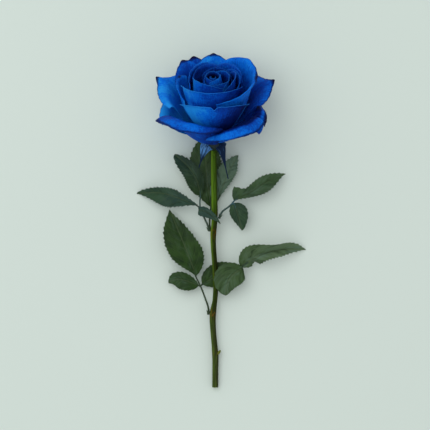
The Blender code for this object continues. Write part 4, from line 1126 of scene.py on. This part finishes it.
def leaf_finish():
    """Leaf: dark satin green above with paler veins, a painted sheen on pale leaflets, painted
    highlights along the midrib and on crease ridges and painted shade in the creases, and
    grey-green below.
    """
    made, tree, shader = new_finish("leaf_blade", 0.45, 0.11)
    across, along, vein, out = values_of(tree, "across along vein out")
    pale, cool, under = values_of(tree, "pale cool under")
    spot = millimetres(tree)
    clouds = noise(spot, 0.12, 3.0)
    grain = noise(spot, 1.4, 3.0, 0.6)
    creases = noise(vector(vein * 0.9, across * 0.12, 3.0), 1.0, 3.0, 0.6)
    lengthways = noise(vector(across * 0.5, along * 0.07, 5.0), 1.0)
    side_vein = fade(vein.calculate("PINGPONG", 0.5), 0.02, 0.09, 1.0, 0.0)
    side_vein = side_vein * fade(out, 0.75, 0.98, 1.0, 0.0)
    from_midrib = across.calculate("ABSOLUTE")
    midrib = fade(from_midrib, 0.25, 0.75, 1.0, 0.0)
    # painted sheen on the creased surface of pale leaflets, and a painted highlight along the
    # midrib and on the crease ridges
    fold_sheen = fade(fade(creases, 0.35, 0.65), 0.0, 1.0, 0.8, 1.2)
    ridge_highlight = fade(lengthways, 0.5, 0.62, 0.0, 0.5) * fade(from_midrib, 1.5, 5.0, 1.0, 0.1)
    ridge_highlight = ridge_highlight.calculate("MAXIMUM", fade(creases, 0.52, 0.68, 0.0, 0.3))
    upper = coated((0.008, 0.027, 0.005),
                   (fade(clouds, 0.3, 0.7), (0.020, 0.055, 0.008)),
                   (fade(grain, 0.35, 0.75, 0.0, 0.3), (0.036, 0.075, 0.018)),
                   (pale * -1.0, (0.004, 0.012, 0.005)),
                   # painted sheen on pale leaflets, partly their waxy bloom, and a bluish cast
                   # that is partly a painted reflection
                   (pale * fold_sheen, (0.095, 0.155, 0.078)),
                   (cool, (0.048, 0.100, 0.120)),
                   (ridge_highlight * fade(pale, -0.15, 0.9, 0.4, 1.7), (0.085, 0.145, 0.098)),
                   # painted shade in the creases
                   (fade(creases, 0.46, 0.34, 0.0, 0.55), (0.004, 0.015, 0.004)),
                   (side_vein * 0.2, (0.07, 0.115, 0.045)),
                   (midrib * 0.4, (0.085, 0.120, 0.06)))
    lower = coated((0.045, 0.085, 0.050),
                   (fade(clouds, 0.3, 0.7), (0.070, 0.115, 0.065)),
                   (side_vein.calculate("MAXIMUM", midrib) * 0.5, (0.14, 0.20, 0.11)))
    feed(shader, "Roughness", fade(grain, 0.3, 0.7, 0.36, 0.52))
    net = add(tree, "TexVoronoi", {"Vector": spot, "Scale": 0.9}, "Distance",
              feature="DISTANCE_TO_EDGE")
    height = side_vein * -0.8 + net * 0.8 + creases * 1.2
    surface(shader, coated(upper, (under, lower)), height, 0.7, 0.3)
    return made


def stem_finish():
    """Fresh bark: yellow-green streaked lengthways, with brown flecks at the nodes, a painted
    highlight down its left side and painted shade down its right.
    """
    made, tree, shader = new_finish("stem_skin", 0.5, 0.05)
    along, node, side, stub = values_of(tree, "along node side stub")
    spot = millimetres(tree)
    streaks = noise(drawn_out(spot, 0.06), 1.1, 3.0, 0.6)
    flecks = noise(drawn_out(spot, 0.35), 1.1, 3.0, 0.7)
    # painted highlight down the left side, weaker low on the stem
    left_highlight = fade(side, -0.1, -0.75, 0.0, 0.6) * fade(along, 70.0, 130.0, 0.25, 1.0)
    colour = coated((0.032, 0.044, 0.012),
                    (fade(along, 40.0, 75.0), (0.012, 0.022, 0.001)),
                    (fade(along, 125.0, 152.0), (0.046, 0.110, 0.004)),
                    (fade(streaks, 0.45, 0.75, 0.0, 0.45), (0.085, 0.15, 0.015)),
                    (fade(streaks, 0.6, 0.35, 0.0, 0.5), (0.010, 0.020, 0.002)),
                    (left_highlight, (0.13, 0.25, 0.016)),
                    # painted shade down the right side
                    (fade(side, 0.2, 0.8, 0.0, 0.65), (0.014, 0.014, 0.002)),
                    (fade(flecks, 0.5, 0.62) * node, (0.16, 0.060, 0.006)),
                    (stub * 0.7, (0.16, 0.19, 0.03)),
                    (fade(along, 0.0, 0.3, 1.0, 0.0), (0.20, 0.26, 0.10)))
    surface(shader, colour, streaks, 0.5, 0.15)
    return made


def stalk_finish():
    """Leaf stalks: green, with a blue stain where the colour has run."""
    made, tree, shader = new_finish("stalk_skin", 0.5, 0.2)
    [blue] = values_of(tree, "blue")
    patches = noise(millimetres(tree), 0.5)
    colour = coated((0.014, 0.030, 0.009),
                    (fade(patches, 0.3, 0.7), (0.034, 0.060, 0.022)),
                    (blue * fade(patches, 0.2, 0.7), (0.030, 0.095, 0.125)))
    surface(shader, colour, patches, 0.4, 0.1)
    return made


def sepal_finish():
    """Sepals stained blue: light along the margins and in patches, navy between."""
    made, tree, shader = new_finish("sepal_skin", 0.5, 0.06)
    across, along, tone, out, tip = values_of(tree, "across along tone out tip")
    lines = noise(vector(across * 1.4, along * 0.12, tone), 1.0, 3.0)
    light = fade(lines, 0.35, 0.65, -0.5, 0.5) + fade(tone, 0.0, 1.0, -0.3, 0.6)
    margin = fade(out.calculate("ABSOLUTE"), 0.72, 0.97) * fade(tone, 0.0, 1.0, 0.02, 0.6)
    colour = coated((0.004, 0.014, 0.045),
                    (light - fade(tip, 0.5, 0.9), (0.085, 0.24, 0.52)),
                    (margin * fade(tip, 0.5, 0.8, 1.0, 0.0), (0.10, 0.30, 0.70)))
    surface(shader, colour, lines, 0.5, 0.2)
    return made


def hip_finish():
    """The hip: green below, stained blue towards the flower."""
    made, tree, shader = new_finish("hip_skin", 0.5, 0.2)
    [along] = values_of(tree, "along")
    clouds = noise(millimetres(tree), 0.5, 3.0)
    rise = along + fade(clouds, 0.3, 0.7, -0.2, 0.2)
    colour = coated((0.014, 0.030, 0.006), (fade(rise, 0.2, 0.9), (0.008, 0.020, 0.035)))
    surface(shader, colour, clouds, 0.4, 0.15)
    return made


def build_rose():
    """Every piece of the rose, each with its finish."""
    petal_look = petal_finish()
    flower_core(petal_look)
    for petal in PETALS:
        petal_piece(petal, petal_look)
    calyx_pieces(sepal_finish(), hip_finish())
    stem_piece(stem_finish())
    leaf_look, stalk_look = leaf_finish(), stalk_finish()
    for name, plan in LEAVES.items():
        stalk_piece(name, plan, stalk_look)
        for part, leaflet in plan.leaflets.items():
            leaflet_piece(name + "_" + part, leaflet, leaf_look, name)


# The stage, whose lengths are metres
FLOOR_RADIUS = 8.0
FLOOR_CORNERS = 64
FLOOR_DROP = 0.0004
FLOOR_COLOURS = ((0.625, 0.716, 0.665), (0.645, 0.73, 0.68))
WORLD_STRENGTH = 0.7
LAMP_PLACE = (-0.7, 0.6, 2.1)
LAMP_TARGET = (0.0, 0.03, 0.02)
LAMP_POWER = 20.5             # watts
LAMP_SIZE = 2.0
SENSOR_WIDTH = 36.0           # millimetres
CAMERA_REACH = 100.0


def floor():
    """A plain pale floor."""
    mesh = bpy.data.meshes.new("floor")
    angles = np.arange(FLOOR_CORNERS) * 2 * math.pi / FLOOR_CORNERS
    mesh.from_pydata([(FLOOR_RADIUS * math.cos(a), FLOOR_RADIUS * math.sin(a), -FLOOR_DROP)
                      for a in angles], [], [tuple(range(FLOOR_CORNERS))])
    made, tree, shader = new_finish("floor_paper", 0.9, 0.1)
    grain = noise(add(tree, "TexCoord", {}, "Object"), 3.0)
    first, second = FLOOR_COLOURS
    feed(shader, "Base Color", coated(first, (fade(grain, 0.0, 1.0, 0.0, 0.06), second)))
    mesh.materials.append(made)
    put_in_scene("floor", mesh)


def lights():
    """A large soft lamp from the upper left and even white light from all around."""
    data = bpy.data.lights.new("key_light", "AREA")
    data.energy = LAMP_POWER
    data.size = LAMP_SIZE
    lamp = put_in_scene("key_light", data)
    lamp.location = LAMP_PLACE
    facing = Vector(LAMP_TARGET) - Vector(LAMP_PLACE)
    lamp.rotation_euler = facing.to_track_quat("-Z", "Y").to_euler()
    world = bpy.data.worlds.new("studio")
    world.use_nodes = True
    background = world.node_tree.nodes["Background"]
    background.inputs["Color"].default_value = (1.0, 1.0, 1.0, 1.0)
    background.inputs["Strength"].default_value = WORLD_STRENGTH
    bpy.context.scene.world = world


def camera():
    """The camera looks straight down and takes in the photograph's frame."""
    data = bpy.data.cameras.new("camera")
    data.sensor_width = SENSOR_WIDTH
    data.lens = SENSOR_WIDTH * VIEW_HEIGHT / (PICTURE_SIZE * PIXEL)
    data.clip_end = CAMERA_REACH
    holder = put_in_scene("camera", data)
    holder.location = [measure * MM for measure in CAMERA_PLACE]
    bpy.context.scene.camera = holder


build_rose()
floor()
lights()
camera()
bpy.context.scene.view_settings.view_transform = "Standard"
